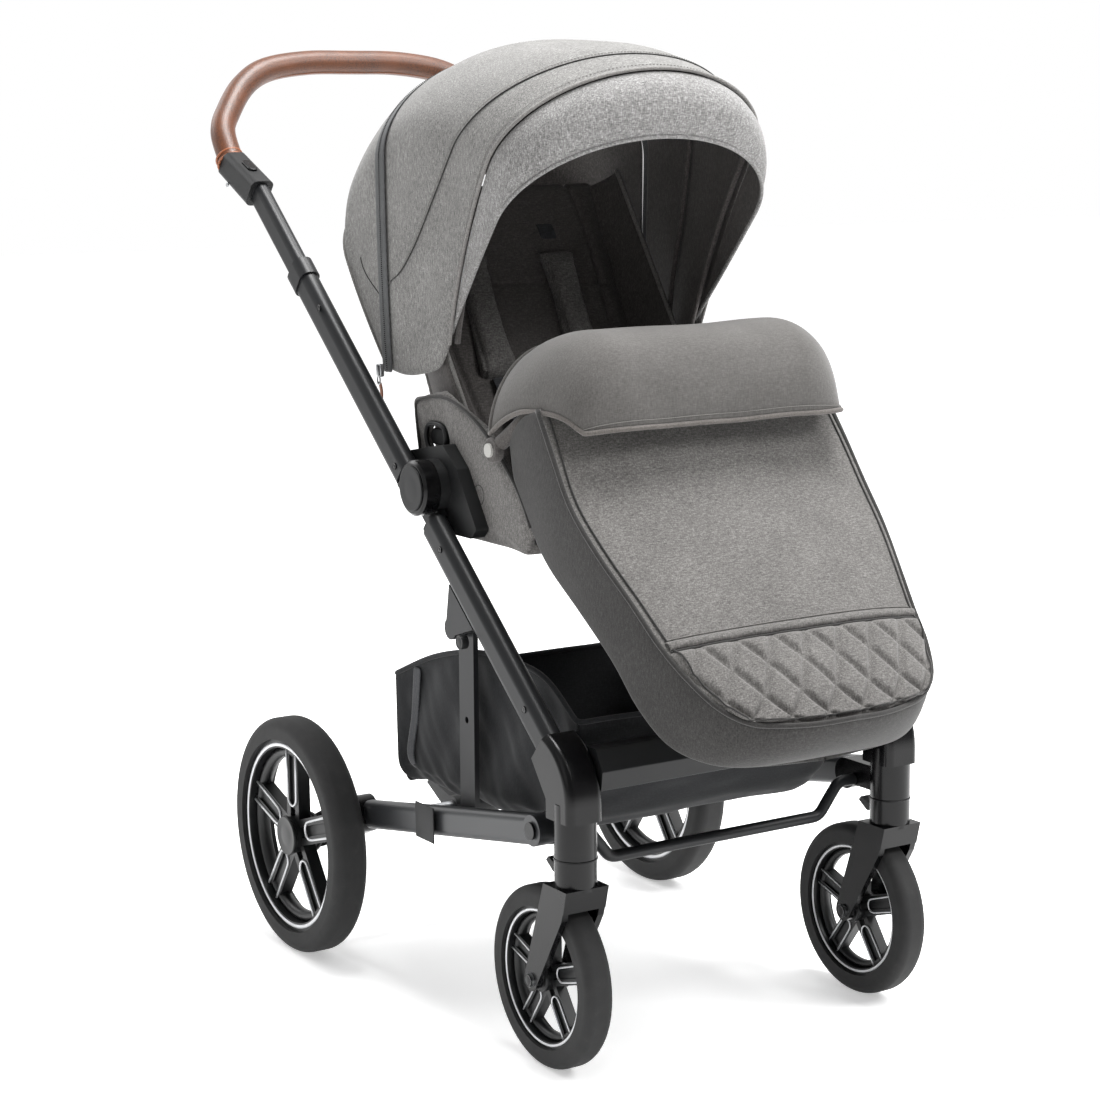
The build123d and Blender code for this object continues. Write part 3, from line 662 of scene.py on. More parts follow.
hood_cloth = cloth(110, 44, front_cloth, HOOD_INSIDE, 0.0022, [hood_melange, liner_cloth])
finish(hood_cloth, "hood_front_cloth", "hood_front", None, ["hood_front"])
rear_panel = cloth(110, 30, rear_cloth, HOOD_INSIDE, 0.0022, [hood_melange, liner_cloth])
finish(rear_panel, "hood_rear_cloth", "backrest", None, ["hood_rear"])
visor_panel = cloth(100, 12, visor_cloth, HOOD_INSIDE, 0.003, [visor_melange, liner_cloth])
finish(visor_panel, "visor_cloth", "hood_front", None, ["visor"])

# %% [markdown]
# The front part zips to the rear part. The zip lies on a dark tape over the join, with a coil of fine teeth
# down its middle, and ends at the right hem in a slider with a leather pull.

# %% Zip
TAPE = 0.025


def zip_tape(u, v):
    low = Vector((0, 0.206 + TAPE * v, 0.757))
    top = Vector((0, 0.198 + TAPE * v, 1.1475 - 0.009 * v))
    return arch_point(low, top, HOOD_HALF + 0.0035, u)


tape = cloth(100, 4, zip_tape, HOOD_INSIDE, 0.0016, [zip_tape_cloth])
finish(tape, "hood_zip_tape", "hood_front", None)
teeth = stitches(lambda t: zip_tape(t, 0.5) + (zip_tape(t, 0.5) - HOOD_INSIDE).normalized() * 0.0006, 420,
                 0.0014, 0.0009)
finish(teeth, "hood_zip_coil", "hood_front", [gloss_abs])
ZIP_X = -(HOOD_HALF + 0.004)
slider = block(at(ZIP_X - 0.005, 0.213, 0.752), at(ZIP_X + 0.002, 0.224, 0.768), 0.0018)
ring = tube([at(ZIP_X - 0.004, 0.218 + 0.004 * cos(a), 0.748 + 0.006 * sin(a))
             for a in (0, pi / 3, 2 * pi / 3, pi, 4 * pi / 3, 5 * pi / 3)], 0.0009, closed=True)
finish(joined([slider, ring]), "zip_slider", "hood_front", [zinc_steel])


def pull_shape(u, v):
    width = 0.0075 * (1 - 0.35 * v)
    return at(ZIP_X - 0.004 + 0.002 * sin(v * 5), 0.218 + (u - 0.5) * width - 0.004 * v, 0.746 - 0.042 * v)


pull = cloth(4, 16, pull_shape, at(0, 0.218, 0.72), 0.0018, [tan_leather])
finish(pull, "zip_pull", "hood_front", None)

# %% [markdown]
# Seams give the cloth its cut: a thin dark line where the side panel meets the crown, stitched bindings at the
# front and rear edges, and a rolled edge on the visor.


# %% Seams and edges
def seam(path, count, radius, name, body, material):
    """A sewn line that follows path(t)."""
    line = tube([path(i / count) for i in range(count + 1)], radius)
    return finish(line, name, body, [material])


def crown_seam(t):
    """From the zip on the right, forward and up, over the crown near the front edge, and down the left."""
    across = 0.5 + 0.40 * (2 * t - 1)
    along = 0.86 * sqrt(max(0.0, 1 - (2 * t - 1) ** 2))
    return front_cloth(across, along, 0.0006)


seam(crown_seam, 90, 0.0009, "hood_crown_seam", "hood_front", piping_cord)
finish(stitches(lambda t: front_cloth(0.5 + 0.40 * (2 * t - 1), max(0.0, 0.86 * sqrt(max(0, 1 - (2 * t - 1) ** 2))
                - 0.018), 0.0009), 220), "hood_crown_stitches", "hood_front", [seam_thread])
seam(lambda t: front_cloth(t, 1.0, 0.0008), 90, 0.0021, "hood_front_binding", "hood_front", binding_cloth)
finish(stitches(lambda t: front_cloth(t, 0.965, 0.0009), 240), "hood_edge_stitches", "hood_front",
       [seam_thread])
seam(lambda t: visor_cloth(t, 1.0), 80, 0.0024, "visor_rolled_edge", "hood_front", visor_melange)
seam(lambda t: rear_cloth(t, 1.0), 70, 0.0020, "hood_rear_binding", "backrest", binding_cloth)
seam(lambda t: rear_cloth(0.06 + 0.11 * t, 0.62 * sin(pi * t / 2)), 24, 0.0009, "hood_rear_seam_right",
     "backrest", piping_cord)
seam(lambda t: rear_cloth(0.94 - 0.11 * t, 0.62 * sin(pi * t / 2)), 24, 0.0009, "hood_rear_seam_left",
     "backrest", piping_cord)
for v in (0.45, 0.98):
    seam(lambda t: front_cloth(t, v, -0.006), 60, 0.0035, "hood_bow_" + ("middle" if v < 0.5 else "front"),
         "hood_front", liner_cloth)

# %% [markdown]
# ## Leg boot
# The boot is a padded bag over the child's legs: a crowned front panel, a gusset round its sides and toe, and a back
# panel under the legs. Cord piping covers the seam between panel and gusset. It hangs from the seat; here it rides on
# no body, so it does not move with the leg rest or bend at the knee.

# %% Boot outline
BOOT_INSIDE = at(0, -0.20, 0.54)
panel_edge = [(0.200, -0.148, 0.742), (0.203, -0.186, 0.690), (0.204, -0.222, 0.640), (0.198, -0.267, 0.593),
              (0.186, -0.312, 0.547), (0.176, -0.350, 0.506), (0.165, -0.385, 0.475), (0.146, -0.417, 0.446),
              (0.117, -0.436, 0.429), (0.082, -0.450, 0.425), (0.040, -0.460, 0.424), (0.0, -0.463, 0.425)]
back_edge = [(0.197, -0.080, 0.700), (0.197, -0.092, 0.650), (0.196, -0.122, 0.606), (0.194, -0.155, 0.566),
             (0.190, -0.212, 0.523), (0.184, -0.270, 0.475), (0.177, -0.310, 0.428), (0.162, -0.348, 0.392),
             (0.135, -0.385, 0.376), (0.098, -0.405, 0.372), (0.052, -0.412, 0.372), (0.0, -0.413, 0.372)]


def half_line(points):
    spots = [Vector(p) for p in points]
    return lambda t: blend_points(spots, t)


edge_line = half_line(panel_edge)
back_line = half_line(back_edge)


def around(line, t):
    """A point on a mirrored line that runs down the right side, across the toe and up the left."""
    if t < 0.5:
        spot = line(t * 2)
        return Vector((-spot.x, spot.y, spot.z))
    return line(2 - t * 2)


def piping_path(t):
    return at(*around(edge_line, t))


# %% [markdown]
# The front panel is one piece of cloth to the toe. Below a raised hem band it doubles as a pocket front, quilted
# in diamonds. The quilting is in the mesh: two crossing families of sewn channels, with the padding standing
# up between them.

# %% Front panel
TOE_SHARE = 0.727
POCKET = 0.655
BAND_DEPTH = 0.030
HEM = 0.012
PANEL_LENGTH = 0.455
DIAMOND = (0.046, 0.090)
CHANNEL = 0.0042


def channel(place, pitch):
    """How deep in a sewn channel a place is, from 0 between channels to 1 on one."""
    off = (place - round(place)) * pitch
    return exp(-(off / CHANNEL) ** 2)


def panel_point(u, v, proud=0.0):
    """The front panel: u across it and v down it, to the toe."""
    half = edge_line(v * TOE_SHARE)
    across = 2 * u - 1
    spot = Vector((half.x * across, half.y, half.z))
    spot += Vector((0, -0.012, -0.008)) * v ** 5 * (1 - across * across)
    crown = 0.016 * (1 - across * across) ** 0.8 * (1 - 0.6 * smooth((v - 0.8) / 0.2))
    wave = 0.0035 * noise.noise(Vector((spot.x * 8, v * 5, 0.3)))
    below = (v - POCKET) * PANEL_LENGTH
    quilt = 0.0
    if below > 0:
        first = channel(spot.x / DIAMOND[0] + below / DIAMOND[1], DIAMOND[0] * 0.9)
        second = channel(spot.x / DIAMOND[0] - below / DIAMOND[1], DIAMOND[0] * 0.9)
        inset = smooth(below / 0.010) * smooth((1 - v) / 0.03) * smooth((1 - abs(across)) / 0.05)
        quilt = (0.0075 - 0.0055 * max(first, second)) * inset
    lean = smooth((v - 0.6) / 0.4)
    out = Vector((0, -0.72 - 0.15 * lean, 0.69 - 0.25 * lean)).normalized()
    return at(*(spot + out * (crown + wave + quilt + proud)))


def gusset_point(u, v):
    """The gusset: u round the boot from the right to the left, v from the piping to the back edge."""
    front = around(edge_line, u)
    rear = around(back_line, u)
    spot = front.lerp(rear, v)
    out = (spot - Vector((0, -0.24, 0.52))).normalized()
    out.x *= 0.5
    wave = 0.004 * noise.noise(spot * 9)
    return at(*(spot + out * (0.010 * sin(pi * v) ** 0.8 + wave * sin(pi * v))))


def under_point(u, v):
    """The back panel, between the two back edges, from the knees to the toe."""
    half = back_line(v)
    across = 2 * u - 1
    return at(half.x * across, half.y, half.z - 0.004 * (1 - across * across))


# The gusset and the back panel take the darker melange, whose colour is painted shade.
boot_pieces = [
    (cloth(130, 150, panel_point, BOOT_INSIDE, 0.003, [boot_melange, liner_cloth], 0), "boot_front_panel",
     ["boot_upper", "boot_lower"], (0.40, 0.47), "boot_cloth"),
    (cloth(150, 18, gusset_point, BOOT_INSIDE, 0.003, [boot_painted_shade_melange, liner_cloth]), "boot_gusset", [],
     (1.25, 0.085), "boot_cloth"),
    (cloth(30, 50, under_point, BOOT_INSIDE, 0.003, [boot_painted_shade_melange, liner_cloth]), "boot_back_panel", [],
     (0.37, 0.52), "boot_cloth"),
]
for piece, name, hidden, flat, slot in boot_pieces:
    finish(piece, name, None, None, hidden)
    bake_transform(piece)

# %% [markdown]
# Two cords of piping run round the panel, a thick one on the seam and a thin one just inside it. A rolled band
# finishes the pocket's mouth.

# %% Piping and pocket band
piping = tube([piping_path(i / 120) for i in range(121)], 0.0029)
inner_piping = tube([panel_point(0.022, i / 60 * 0.97, 0.0012) for i in range(61)]
                    + [panel_point(0.022 + 0.956 * i / 40, 0.975, 0.0012) for i in range(1, 40)]
                    + [panel_point(0.978, (60 - i) / 60 * 0.97, 0.0012) for i in range(61)], 0.0011)
finish(joined([piping, inner_piping]), "boot_piping", None, [piping_cord])


def band_point(u, v):
    """The pocket's rolled hem band, an arch of cloth across the panel."""
    rise = 0.0045 * sin(pi * v) ** 0.5 + 0.0004
    return panel_point(HEM + (1 - 2 * HEM) * u, POCKET - BAND_DEPTH * (1 - v), rise)


band = cloth(110, 8, band_point, BOOT_INSIDE, 0.0015, [boot_melange])
finish(band, "boot_pocket_band", None, None)
mouth = tube([panel_point(HEM + (1 - 2 * HEM) * i / 60, POCKET + 0.004, 0.0002) for i in range(61)], 0.0016)
finish(mouth, "boot_pocket_mouth", None, [piping_cord])
band_stitches = stitches(lambda t: panel_point(0.02 + 0.96 * t, POCKET - 0.034, 0.0008), 150)
finish(band_stitches, "boot_band_stitches", None, [seam_thread])
for name in ("boot_piping", "boot_pocket_band", "boot_pocket_mouth", "boot_band_stitches"):
    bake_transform(bpy.data.objects[name])

# %% [markdown]
# ## Flap
# Under the flap is the bumper bar, a bent tube in a cloth sleeve between two round end blocks. It could be swept in
# sharp bends, but the cloth rounds them, so it follows a smooth line. A soft padded flap lies over the bumper bar and hangs down over the top of the boot. It is flat on the bar and
# rolls over at its sides, where its corners hang.

# %% Bumper bar
BAR_HALF = [(0.203, -0.062, 0.692), (0.196, -0.078, 0.706), (0.186, -0.108, 0.732), (0.177, -0.140, 0.760),
            (0.162, -0.170, 0.786), (0.136, -0.184, 0.798), (0.100, -0.187, 0.800), (0.0, -0.187, 0.800)]
bar_line = half_line(BAR_HALF)
bar_points = [at(*around(bar_line, i / 60)) for i in range(61)]
bar_parts = [tube(bar_points, 0.0088)]
for name, sign in SIDES:
    mouth = at(sign * 0.1974, -0.059, 0.689)
    bar_parts.append(turned(mouth + Vector((sign * 0.0067, 0, 0)), 0.0145, 0.0130, (sign, 0, 0), 0.003, 48, 0.001))
finish(joined(bar_parts), "bumper_bar_cover", "bumper_bar", [liner_cloth], ["bumper_bar"])

# %% Flap
FLAP_FLAT = 0.128
FLAP_ROLL = 0.076
flap_middle = pair_line([(-0.062, 0.806), (-0.096, 0.820), (-0.136, 0.828), (-0.172, 0.825), (-0.201, 0.810),
                         (-0.217, 0.784), (-0.225, 0.754), (-0.227, 0.724)])
flap_side = pair_line([(-0.050, 0.707), (-0.080, 0.724), (-0.120, 0.738), (-0.160, 0.738), (-0.190, 0.732),
                       (-0.212, 0.722)])


def flap_point(u, v):
    """The flap: u from its right side to its left, v from its rear edge over the bar to its front hem."""
    across = 2 * u - 1
    if abs(across) < 0.5:
        x = FLAP_FLAT * across / 0.5
        turn = 0.0
    else:
        turn = (abs(across) - 0.5) / 0.5 * pi / 2
        x = (FLAP_FLAT + FLAP_ROLL * sin(turn)) * (1 if across > 0 else -1)
    share = 1 - cos(turn)
    middle = flap_middle(v)
    side = flap_side(v)
    spot = middle.lerp(side, share)
    fold = 0.005 * noise.noise(Vector((x * 9, v * 3.0, 1.7))) + 0.003 * sin(across * 9) * v * share
    return at(x * (1 - 0.13 * v * v), spot.y - fold * v, spot.z + fold * 0.6)


flap = cloth(90, 40, flap_point, at(0, -0.14, 0.74), 0.0045, [flap_cloth])
finish(flap, "boot_flap_cloth", "bumper_bar", None, ["boot_flap"])
hem_path = ([flap_point(0.0, i / 20) for i in range(21)] + [flap_point(i / 60, 1.0) for i in range(1, 60)]
            + [flap_point(1.0, 1 - i / 20) for i in range(21)])
finish(tube(hem_path, 0.0030), "boot_flap_piping", "bumper_bar", [flap_piping])
finish(tube([flap_point(i / 60, 0.0) for i in range(61)], 0.0026), "boot_flap_rear_hem", "bumper_bar",
       [flap_cloth])
finish(stitches(lambda t: flap_point(0.02 + 0.96 * t, 0.962) + Vector((0, -0.0012, 0.0006)), 170),
       "boot_flap_stitches", "bumper_bar", [seam_thread])

# %% [markdown]
# ## Seat
# The seat's sides, cushion, back and shoulder pads are foam in cloth covers. Each starts as the frame's own plain
# solid, remeshed into small squares and blown up a little by a cloth simulation with inner pressure, so that its
# faces crown and its edges round over. Sewn channels are pressed in after that.

# %% Seat sides and cushion
seat_sides = softened("seat_shell", 0.0042, shrink=0.0008, pressure=3.0, cap=0.0025)
finish(seat_sides, "seat_side_covers", "seat", [seat_melange], ["seat_shell"])
cushion = softened("seat_pad", 0.005, shrink=0.002, pressure=4.0, cap=0.008)
groove(cushion, lambda p: abs(p.x) - 0.085, 0.0035, 0.004)
finish(cushion, "seat_cushion", "seat", [liner_cloth], ["seat_pad"])
leg_pad = softened("legrest", 0.006, shrink=0.001, pressure=3.0, cap=0.004)
finish(leg_pad, "legrest_pad", "legrest", [liner_cloth], ["legrest"])
WINDOW = (0.088, 0.689)
for name, sign in SIDES:
    bezel = tube([at(sign * 0.1975, WINDOW[0] + y, WINDOW[1] + z) for y, z in
                  ((-0.025, 0), (-0.021, 0.013), (-0.009, 0.0165), (0.009, 0.0165), (0.021, 0.013), (0.025, 0),
                   (0.021, -0.013), (0.009, -0.0165), (-0.009, -0.0165), (-0.021, -0.013))], 0.0028, closed=True)
    finish(bezel, "seat_window_bezel_" + name, "seat", [grained_pp])
    lining = block(at(sign * 0.1800 - 0.001, 0.056, 0.666), at(sign * 0.1800 + 0.001, 0.120, 0.712), 0.0007)
    finish(lining, "seat_window_lining_" + name, "seat", [liner_cloth])
    mark = tube([at(sign * 0.1985, -0.014 + 0.012 * cos(a), 0.631 + 0.012 * sin(a))
                 for a in (k * pi / 6 for k in range(12))], 0.0008, closed=True)
    finish(mark, "seat_side_ring_" + name, "seat", [piping_cord])
    rim = tube([at(sign * 0.197, y, z) for y, z in ((0.124, 0.650), (0.140, 0.722), (0.131, 0.732), (0.070, 0.741),
                                                    (0.020, 0.729), (-0.027, 0.707), (-0.070, 0.672),
                                                    (-0.107, 0.640), (-0.126, 0.606))], 0.0022)
    finish(rim, "seat_side_piping_" + name, "seat", [piping_cord])

# %% Backrest
BACK_PIVOT = (0.105, 0.600)
BACK_SLOPE = radians(63)


def on_back(x, s, offset):
    """A point s up the backrest from its hinge, offset towards the child."""
    return at(x, BACK_PIVOT[0] + s * cos(BACK_SLOPE) - offset * sin(BACK_SLOPE),
              BACK_PIVOT[1] + s * sin(BACK_SLOPE) + offset * cos(BACK_SLOPE))


back_cushion = softened("backrest", 0.0055, shrink=0.003, pressure=4.0, cap=0.007)
groove(back_cushion, lambda p: abs(p.x) - 0.105 - 0.02 * sin(p.z * 9), 0.0035, 0.005)
groove(back_cushion, lambda p: p.z - 0.86 + 0.35 * p.x * p.x, 0.0035, 0.003)
finish(back_cushion, "backrest_cushion", "backrest", [liner_cloth], ["backrest"])


def wing_point(sign):
    """A padded side wing of the seat liner, from the back's edge forward and out to the hood."""
    def shape(u, v):
        s = 0.05 + 0.37 * v
        reach = 0.095 - 0.045 * v
        x = 0.150 + 0.020 * sin(u * pi / 2)
        return on_back(sign * x, s, 0.004 + reach * u)
    return shape


for name, sign in SIDES:
    wing = cloth(16, 36, wing_point(sign), on_back(0, 0.2, 0.05), -0.006, [liner_cloth])
    edit(wing, outward)
    finish(wing, "seat_wing_" + name, "backrest", None)
    edge = tube([wing_point(sign)(1.0, i / 20) for i in range(21)], 0.0026)
    finish(edge, "seat_wing_piping_" + name, "backrest", [binding_cloth])

# %% [markdown]
# ## Harness
# Shoulder webbing comes out of the back, runs through two padded sleeves and ends in the crotch buckle. Webbing
# is a flat strap, so it is a ribbon swept along its route.

# %% Harness
pads = softened("harness_pads", 0.004, shrink=0.0015, pressure=4.0, cap=0.005)
groove(pads, lambda p: abs(abs(p.x) - 0.0655) - 0.021, 0.002, 0.0018)
finish(pads, "shoulder_pads", "backrest", [seat_melange], ["harness_pads"])


def ribbon(route, width, thick, inside, columns=4, rows=60):
    """A flat strap whose width lies across the object."""
    line = [Vector(p) for p in route]
    return cloth(columns, rows, lambda u, v: blend_points(line, v) + Vector(((u - 0.5) * width, 0, 0)), inside, thick,
                 [harness_web])


for name, sign in SIDES:
    upper = ribbon([on_back(sign * 0.06, 0.372, 0.006), on_back(sign * 0.062, 0.36, 0.018),
                    on_back(sign * 0.0655, 0.325, 0.016), on_back(sign * 0.0655, 0.24, 0.020)], 0.025, 0.0014,
                   on_back(0, 0.3, -0.1))
    finish(upper, "shoulder_strap_" + name, "backrest", None)
    lower = ribbon([on_back(sign * 0.0655, 0.155, 0.022), at(sign * 0.060, 0.120, 0.70),
                    at(sign * 0.050, 0.060, 0.665), at(sign * 0.036, 0.000, 0.650),
                    at(sign * 0.026, -0.034, 0.648)], 0.025, 0.0014, at(0, 0.1, 0.5))
    finish(lower, "waist_strap_" + name, None, None)
    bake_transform(lower)
crotch = ribbon([at(0, -0.030, 0.607), at(0, -0.036, 0.622), at(0, -0.040, 0.640)], 0.028, 0.0016, at(0, 0.1, 0.62))
finish(crotch, "crotch_strap", "seat", None)
finish(turned(at(0, -0.0475, 0.636), 0.009, 0.004, (0, -1, -0.1), 0.001, recess=0.0008), "buckle_button", "seat",
       [pale_button])

# %% [markdown]
# ## Basket
# The basket is a nylon tub slung between the rails. Its floor sags, its sides bow out and crease between the
# points that hold them, and a rolled hem runs round its mouth.

# %% Basket
BASKET_HALF = 0.197
basket_top = pair_line([(0.207, 0.378), (0.110, 0.416), (0.020, 0.438), (-0.058, 0.445), (-0.150, 0.438),
                        (-0.220, 0.398)])
basket_floor = pair_line([(0.205, 0.236), (0.120, 0.236), (0.030, 0.241), (-0.060, 0.245), (-0.150, 0.252),
                          (-0.214, 0.330)])


def tub_point(u, p, proud=0.0):
    """A point of the tub: u down the right side, across the floor and up the left, p from rear to front."""
    top = basket_top(p)
    low = basket_floor(p)
    sign = -1 if u < 0.5 else 1
    t = 1 - abs(u - 0.5) * 2
    corner = 0.034
    if t < 0.42:
        f = t / 0.42
        x = BASKET_HALF
        down = f * (top.z - low.z - corner)
    elif t < 0.58:
        turn = (t - 0.42) / 0.16 * pi / 2
        x = BASKET_HALF - corner + corner * cos(turn)
        down = top.z - low.z - corner + corner * sin(turn)
    else:
        x = (BASKET_HALF - corner) * (1 - (t - 0.58) / 0.42)
        down = top.z - low.z
    share = down / (top.z - low.z)
    y = top.y + (low.y - top.y) * share
    spot = Vector((sign * x, y, top.z - down))
    crease = 0.006 * noise.noise(Vector((spot.x * 5, spot.y * 16 + spot.z * 9, spot.z * 6)))
    crease += 0.003 * noise.noise(Vector((spot.x * 14, spot.y * 44 - spot.z * 30, spot.z * 12)))
    bow = 0.004 * sin(pi * share) if x > BASKET_HALF - 0.001 else 0.0
    hold = smooth(min(p, 1 - p) / 0.06) * smooth(share / 0.12)
    spot.x -= sign * (0.004 - crease - bow) * hold
    spot.z -= 0.0 if x > BASKET_HALF - 0.001 else (0.003 - crease * 0.8) * hold * -1
    spot.x += sign * proud
    return at(*spot)


BASKET_INSIDE = at(0, 0.0, 0.34)
tub = cloth(96, 80, tub_point, BASKET_INSIDE, 0.0014, [basket_nylon])


def end_wall(p):
    """The tub's wall at its rear (p = 0) or front (p = 1)."""
    def shape(u, v):
        low = basket_floor(p)
        top = basket_top(p)
        spot = low.lerp(top, v)
        bend = 0.006 * sin(pi * v) * sin(pi * u) + 0.004 * noise.noise(Vector((u * 6, v * 4, p)))
        return at((2 * u - 1) * (BASKET_HALF - 0.002 - 0.012 * (1 - v) ** 4), spot.y + (bend if p == 0 else -bend),
                  spot.z)
    return shape


walls = [cloth(40, 12, end_wall(p), BASKET_INSIDE, 0.0014, [basket_nylon]) for p in (0, 1)]
finish(joined([tub] + walls), "basket_tub", "chassis", None, ["basket"])
mouth_line = ([tub_point(0.0, i / 30) for i in range(31)] + [end_wall(1)(i / 20, 1.0) for i in range(1, 20)]
              + [tub_point(1.0, 1 - i / 30) for i in range(31)] + [end_wall(0)(1 - i / 20, 1.0) for i in range(1, 20)])
finish(tube(mouth_line, 0.0032, closed=True), "basket_hem", "chassis", [basket_nylon])
for name, sign in SIDES:
    side_u = 0.0 if sign < 0 else 1.0
    route = [tub_point(abs(side_u - f * 0.21 / 0.5), p, 0.0015) for f, p in
             ((0.02, 0.12), (0.25, 0.10), (0.5, 0.075), (0.75, 0.05), (0.98, 0.03))]
    strap = cloth(4, 30, lambda u, v: blend_points(route, v) + Vector((0, (u - 0.5) * 0.018, 0)), BASKET_INSIDE,
                  0.0014, [harness_web])
    finish(strap, "basket_strap_" + name, "chassis", None)

# %% [markdown]
# ## Wheels
# The rims carry thin silver lines: a ring just inside the tyre, and on each of the five spokes a long U that is
# open towards the ring and rounded near the hub. They are inlaid strips that stand a little proud.


# %% Wheel trim
def spoke_line(axle, x, rim, half_gap, angle):
    """The U-shaped line on one spoke."""
    near = rim * 0.30
    far = rim * 0.925
    spots = [(far, -half_gap * 1.12), (rim * 0.6, -half_gap * 1.03), (near + half_gap, -half_gap)]
    spots += [(near + half_gap - half_gap * sin(t), -half_gap * cos(t)) for t in (pi / 6, pi / 3, pi / 2)]
    spots += [(r, -off) for r, off in reversed(spots[:-1])]
    line = []
    for r, off in spots:
        y = r * cos(angle) - off * sin(angle)
        z = r * sin(angle) + off * cos(angle)
        line.append(at(x, axle[0] + y, axle[1] + z))
    return line


def flat_ring(axle, x, inner, outer, thick, sides=96):
    """A thin flat ring, turned about the axle."""
    middle = (inner + outer) / 2
    points = [at(x, axle[0] + middle * cos(2 * pi * k / sides), axle[1] + middle * sin(2 * pi * k / sides))
              for k in range(sides)]
    ring = tube(points, (outer - inner) / 2, closed=True, sides=2, detail=2)
    centre = at(x, 0, 0).x
    for vertex in ring.data.vertices:
        vertex.co.x = centre + (vertex.co.x - centre) * thick / (outer - inner)
    return ring


WHEELS = (("rear", (0.330, 0.1535), 0.126, 0.2769, 0.034, 0.012), ("front", (-0.2017, 0.1054), 0.082, 0.2239, 0.0262,
                                                                 0.0085))
for kind, axle, rim, wheel_x, width, half_gap in WHEELS:
    for name, sign in SIDES:
        centre = sign * wheel_x
        body = f"{kind}_wheel_{name}"
        trims = []
        fills = []
        for face in (1, -1):
            face_x = centre + face * (width / 2 + 0.0004)
            trims.append(flat_ring(axle, face_x, rim * 0.925, rim * 0.965, 0.0016))
            spoke_x = centre + face * (width / 4 + 0.0006)
            for k in range(5):
                angle = pi / 2 + 2 * pi * k / 5
                trims.append(tube(spoke_line(axle, spoke_x, rim, half_gap, angle), rim * 0.0125, sides=2, detail=2))
        finish(joined(trims), f"{kind}_rim_lines_{name}", body, [silver_paint])
        for k in range(5):
            angle = pi / 2 + 2 * pi * k / 5
            plate = block((-width * 0.16, -half_gap * 0.9, 0), (width * 0.16, half_gap * 0.9, rim * 0.66), 0.002)
            plate.data.transform(Matrix.Translation((0, 0, rim * 0.25)))
            plate.data.transform(Matrix.Rotation(angle - pi / 2, 4, "X"))
            plate.data.transform(Matrix.Translation(at(centre, *axle)))
            fills.append(plate)
        for face in (1, -1):
            fills.append(turned(at(centre + face * (width / 2 + 0.001), *axle), rim * 0.205, 0.006, (face, 0, 0), 0.002,
                                recess=0.002))
        finish(joined(fills), f"{kind}_spoke_webs_{name}", body, [rim_abs])
        dish = flat_ring(axle, centre, rim * 0.80, rim * 0.92, width * 0.55)
        finish(dish, f"{kind}_rim_dish_{name}", body, [rim_abs])

# %% [markdown]
# ## Push handle
# The grip's leather is wrapped round the tube and sewn on its inner side, with a tan binding at each end.

# %% Grip leather
GRIP_HALF = [(0.230, 0.572, 1.013), (0.228, 0.601, 1.054), (0.210, 0.620, 1.082), (0.177, 0.642, 1.116),
             (0.135, 0.656, 1.138), (0.070, 0.663, 1.148), (0.0, 0.664, 1.149)]
grip_line = half_line(GRIP_HALF)


def grip_path(t):
    return at(*around(grip_line, t))


GRIP_RADIUS = 0.0168
leather = tube([grip_path(i / 120) for i in range(121)], GRIP_RADIUS, sides=5, detail=3)
finish(leather, "grip_leather_cover", "handle", [grip_leather], ["handle_grip"])
finish(stitches(lambda t: grip_path(t) + Vector((0, -0.55, -0.83)) * 0.0172, 220, 0.0042, 0.0008),
       "grip_stitches", "handle", [tan_thread])
for name, sign in SIDES:
    ends = []
    for far, radius in ((0.001, 0.0186), (0.010, 0.0178)):
        centre = at(sign * 0.230, 0.572 + far * cos(radians(43)), 1.013 + far * sin(radians(43)))
        turn = Vector((0, cos(radians(43)), sin(radians(43)))).to_track_quat("Z", "Y")
        angles = [k * pi / 12 for k in range(24)]
        spots = [centre + turn @ Vector((radius * cos(a), radius * sin(a), 0)) for a in angles]
        ends.append(tube(spots, 0.0016, closed=True))
    finish(joined(ends), "grip_binding_" + name, "handle", [tan_leather])

# %% [markdown]
# ## Small frame parts
# Rivets, screws, a storage-latch knob and the panel lines of the mouldings.

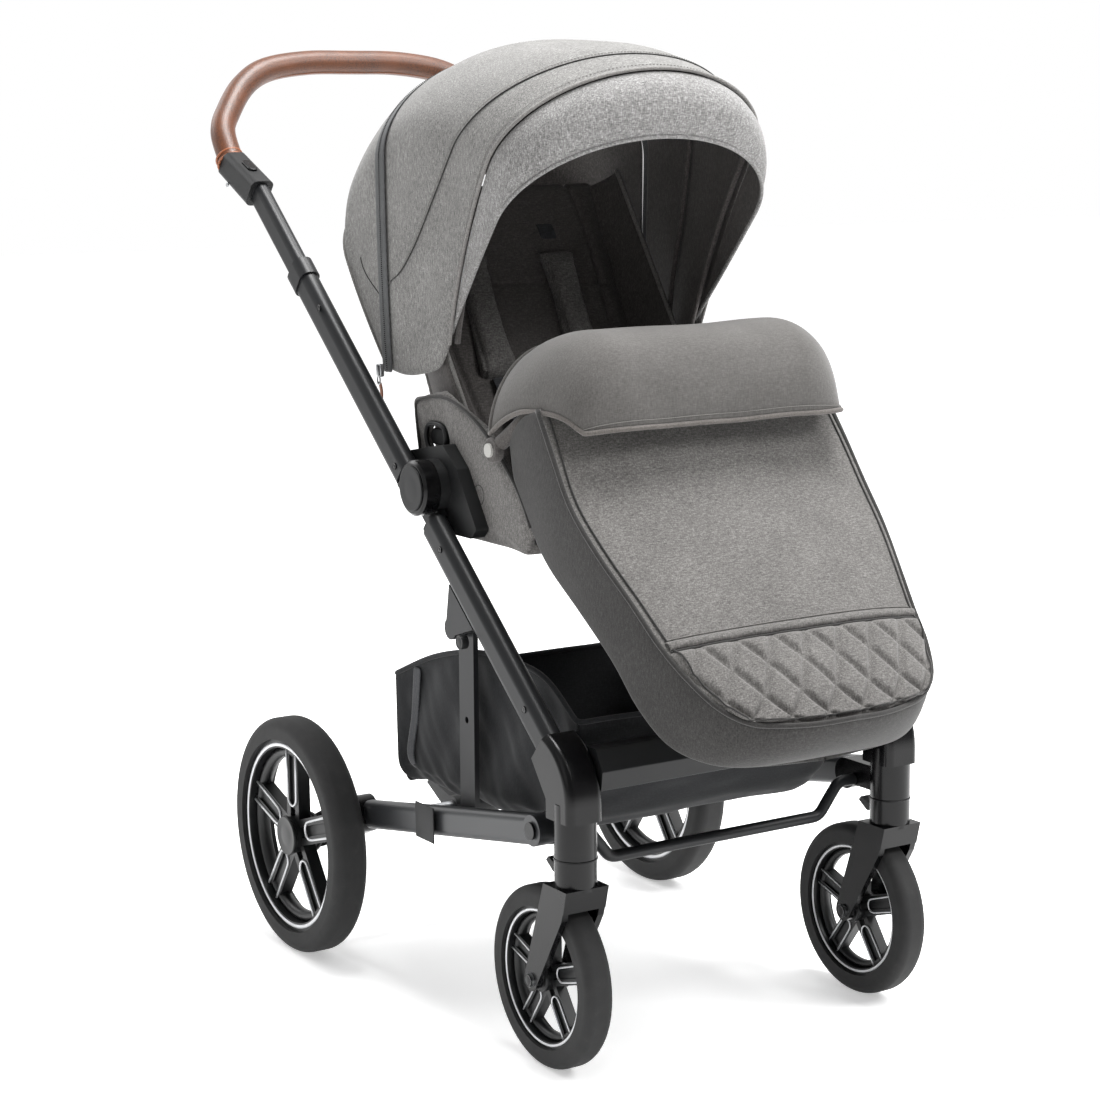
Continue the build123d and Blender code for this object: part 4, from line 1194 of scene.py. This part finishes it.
# %% Fasteners
TUBE_OUT = 0.2425
spots = [("upper_frame", (0.111, 0.655)), ("chassis", (0.004, 0.568)), ("chassis", (-0.180, 0.412)),
         ("upper_frame", (0.300, 0.835))]
for k, (body, (y, z)) in enumerate(spots):
    pair = [turned(at(sign * TUBE_OUT, y, z), 0.0042, 0.0022, (sign, 0, 0), 0.0007, 24, 0.0005) for _, sign in SIDES]
    finish(joined(pair), f"tube_rivets_{k + 1}", body, [gloss_abs])
for name, sign in SIDES:
    knob = turned(at(sign * 0.2440, -0.047, 0.467), 0.0085, 0.010, (sign, 0, 0), 0.002, 32, 0.0012)
    finish(knob, "latch_knob_" + name, "chassis", [grained_pp])
    hub = turned(at(sign * 0.2512, 0.0548, 0.6352), 0.027, 0.003, (sign, 0, 0), 0.001, 64, 0.0010)
    finish(hub, "fold_hub_cap_" + name, "upper_frame", [grained_pp])
    bolt = turned(at(sign * 0.2550, -0.2017, 0.1054), 0.0078, 0.003, (sign, 0, 0), 0.0012, 32, 0.0010)
    inner = turned(at(sign * 0.1928, -0.2017, 0.1054), 0.0078, 0.003, (-sign, 0, 0), 0.0012, 32, 0.0010)
    finish(joined([bolt, inner]), "fork_bolt_caps_" + name, "fork_" + name, [gloss_abs])
    rings = []
    for z, radius in ((0.2562, 0.0243), (0.2570, 0.0243)):
        rings.append(tube([at(sign * 0.2239 + radius * cos(a), -0.255 + radius * sin(a), z)
                           for a in (k * pi / 12 for k in range(24))], 0.0007, closed=True))
    finish(joined(rings), "caster_seam_" + name, "fork_" + name, [gloss_abs])
    screw = turned(at(sign * 0.2465, 0.552, 0.985), 0.0035, 0.002, (sign, 0, 0), 0.0006, 24, 0.0005)
    finish(screw, "grip_screw_" + name, "handle", [zinc_steel])
    rail_screw = turned(at(sign * 0.2445, 0.040, 0.232), 0.0045, 0.002, (sign, 0, 0), 0.0006, 24, 0.0006)
    sleeve = block(at(sign * 0.2475 - 0.004, 0.018, 0.210), at(sign * 0.2475 - 0.002, 0.062, 0.254), 0.0009)
    finish(joined([rail_screw]), "rail_screw_" + name, "rear_frame", [gloss_abs])
    finish(sleeve, "rail_sleeve_" + name, "rear_frame", [grained_pp])
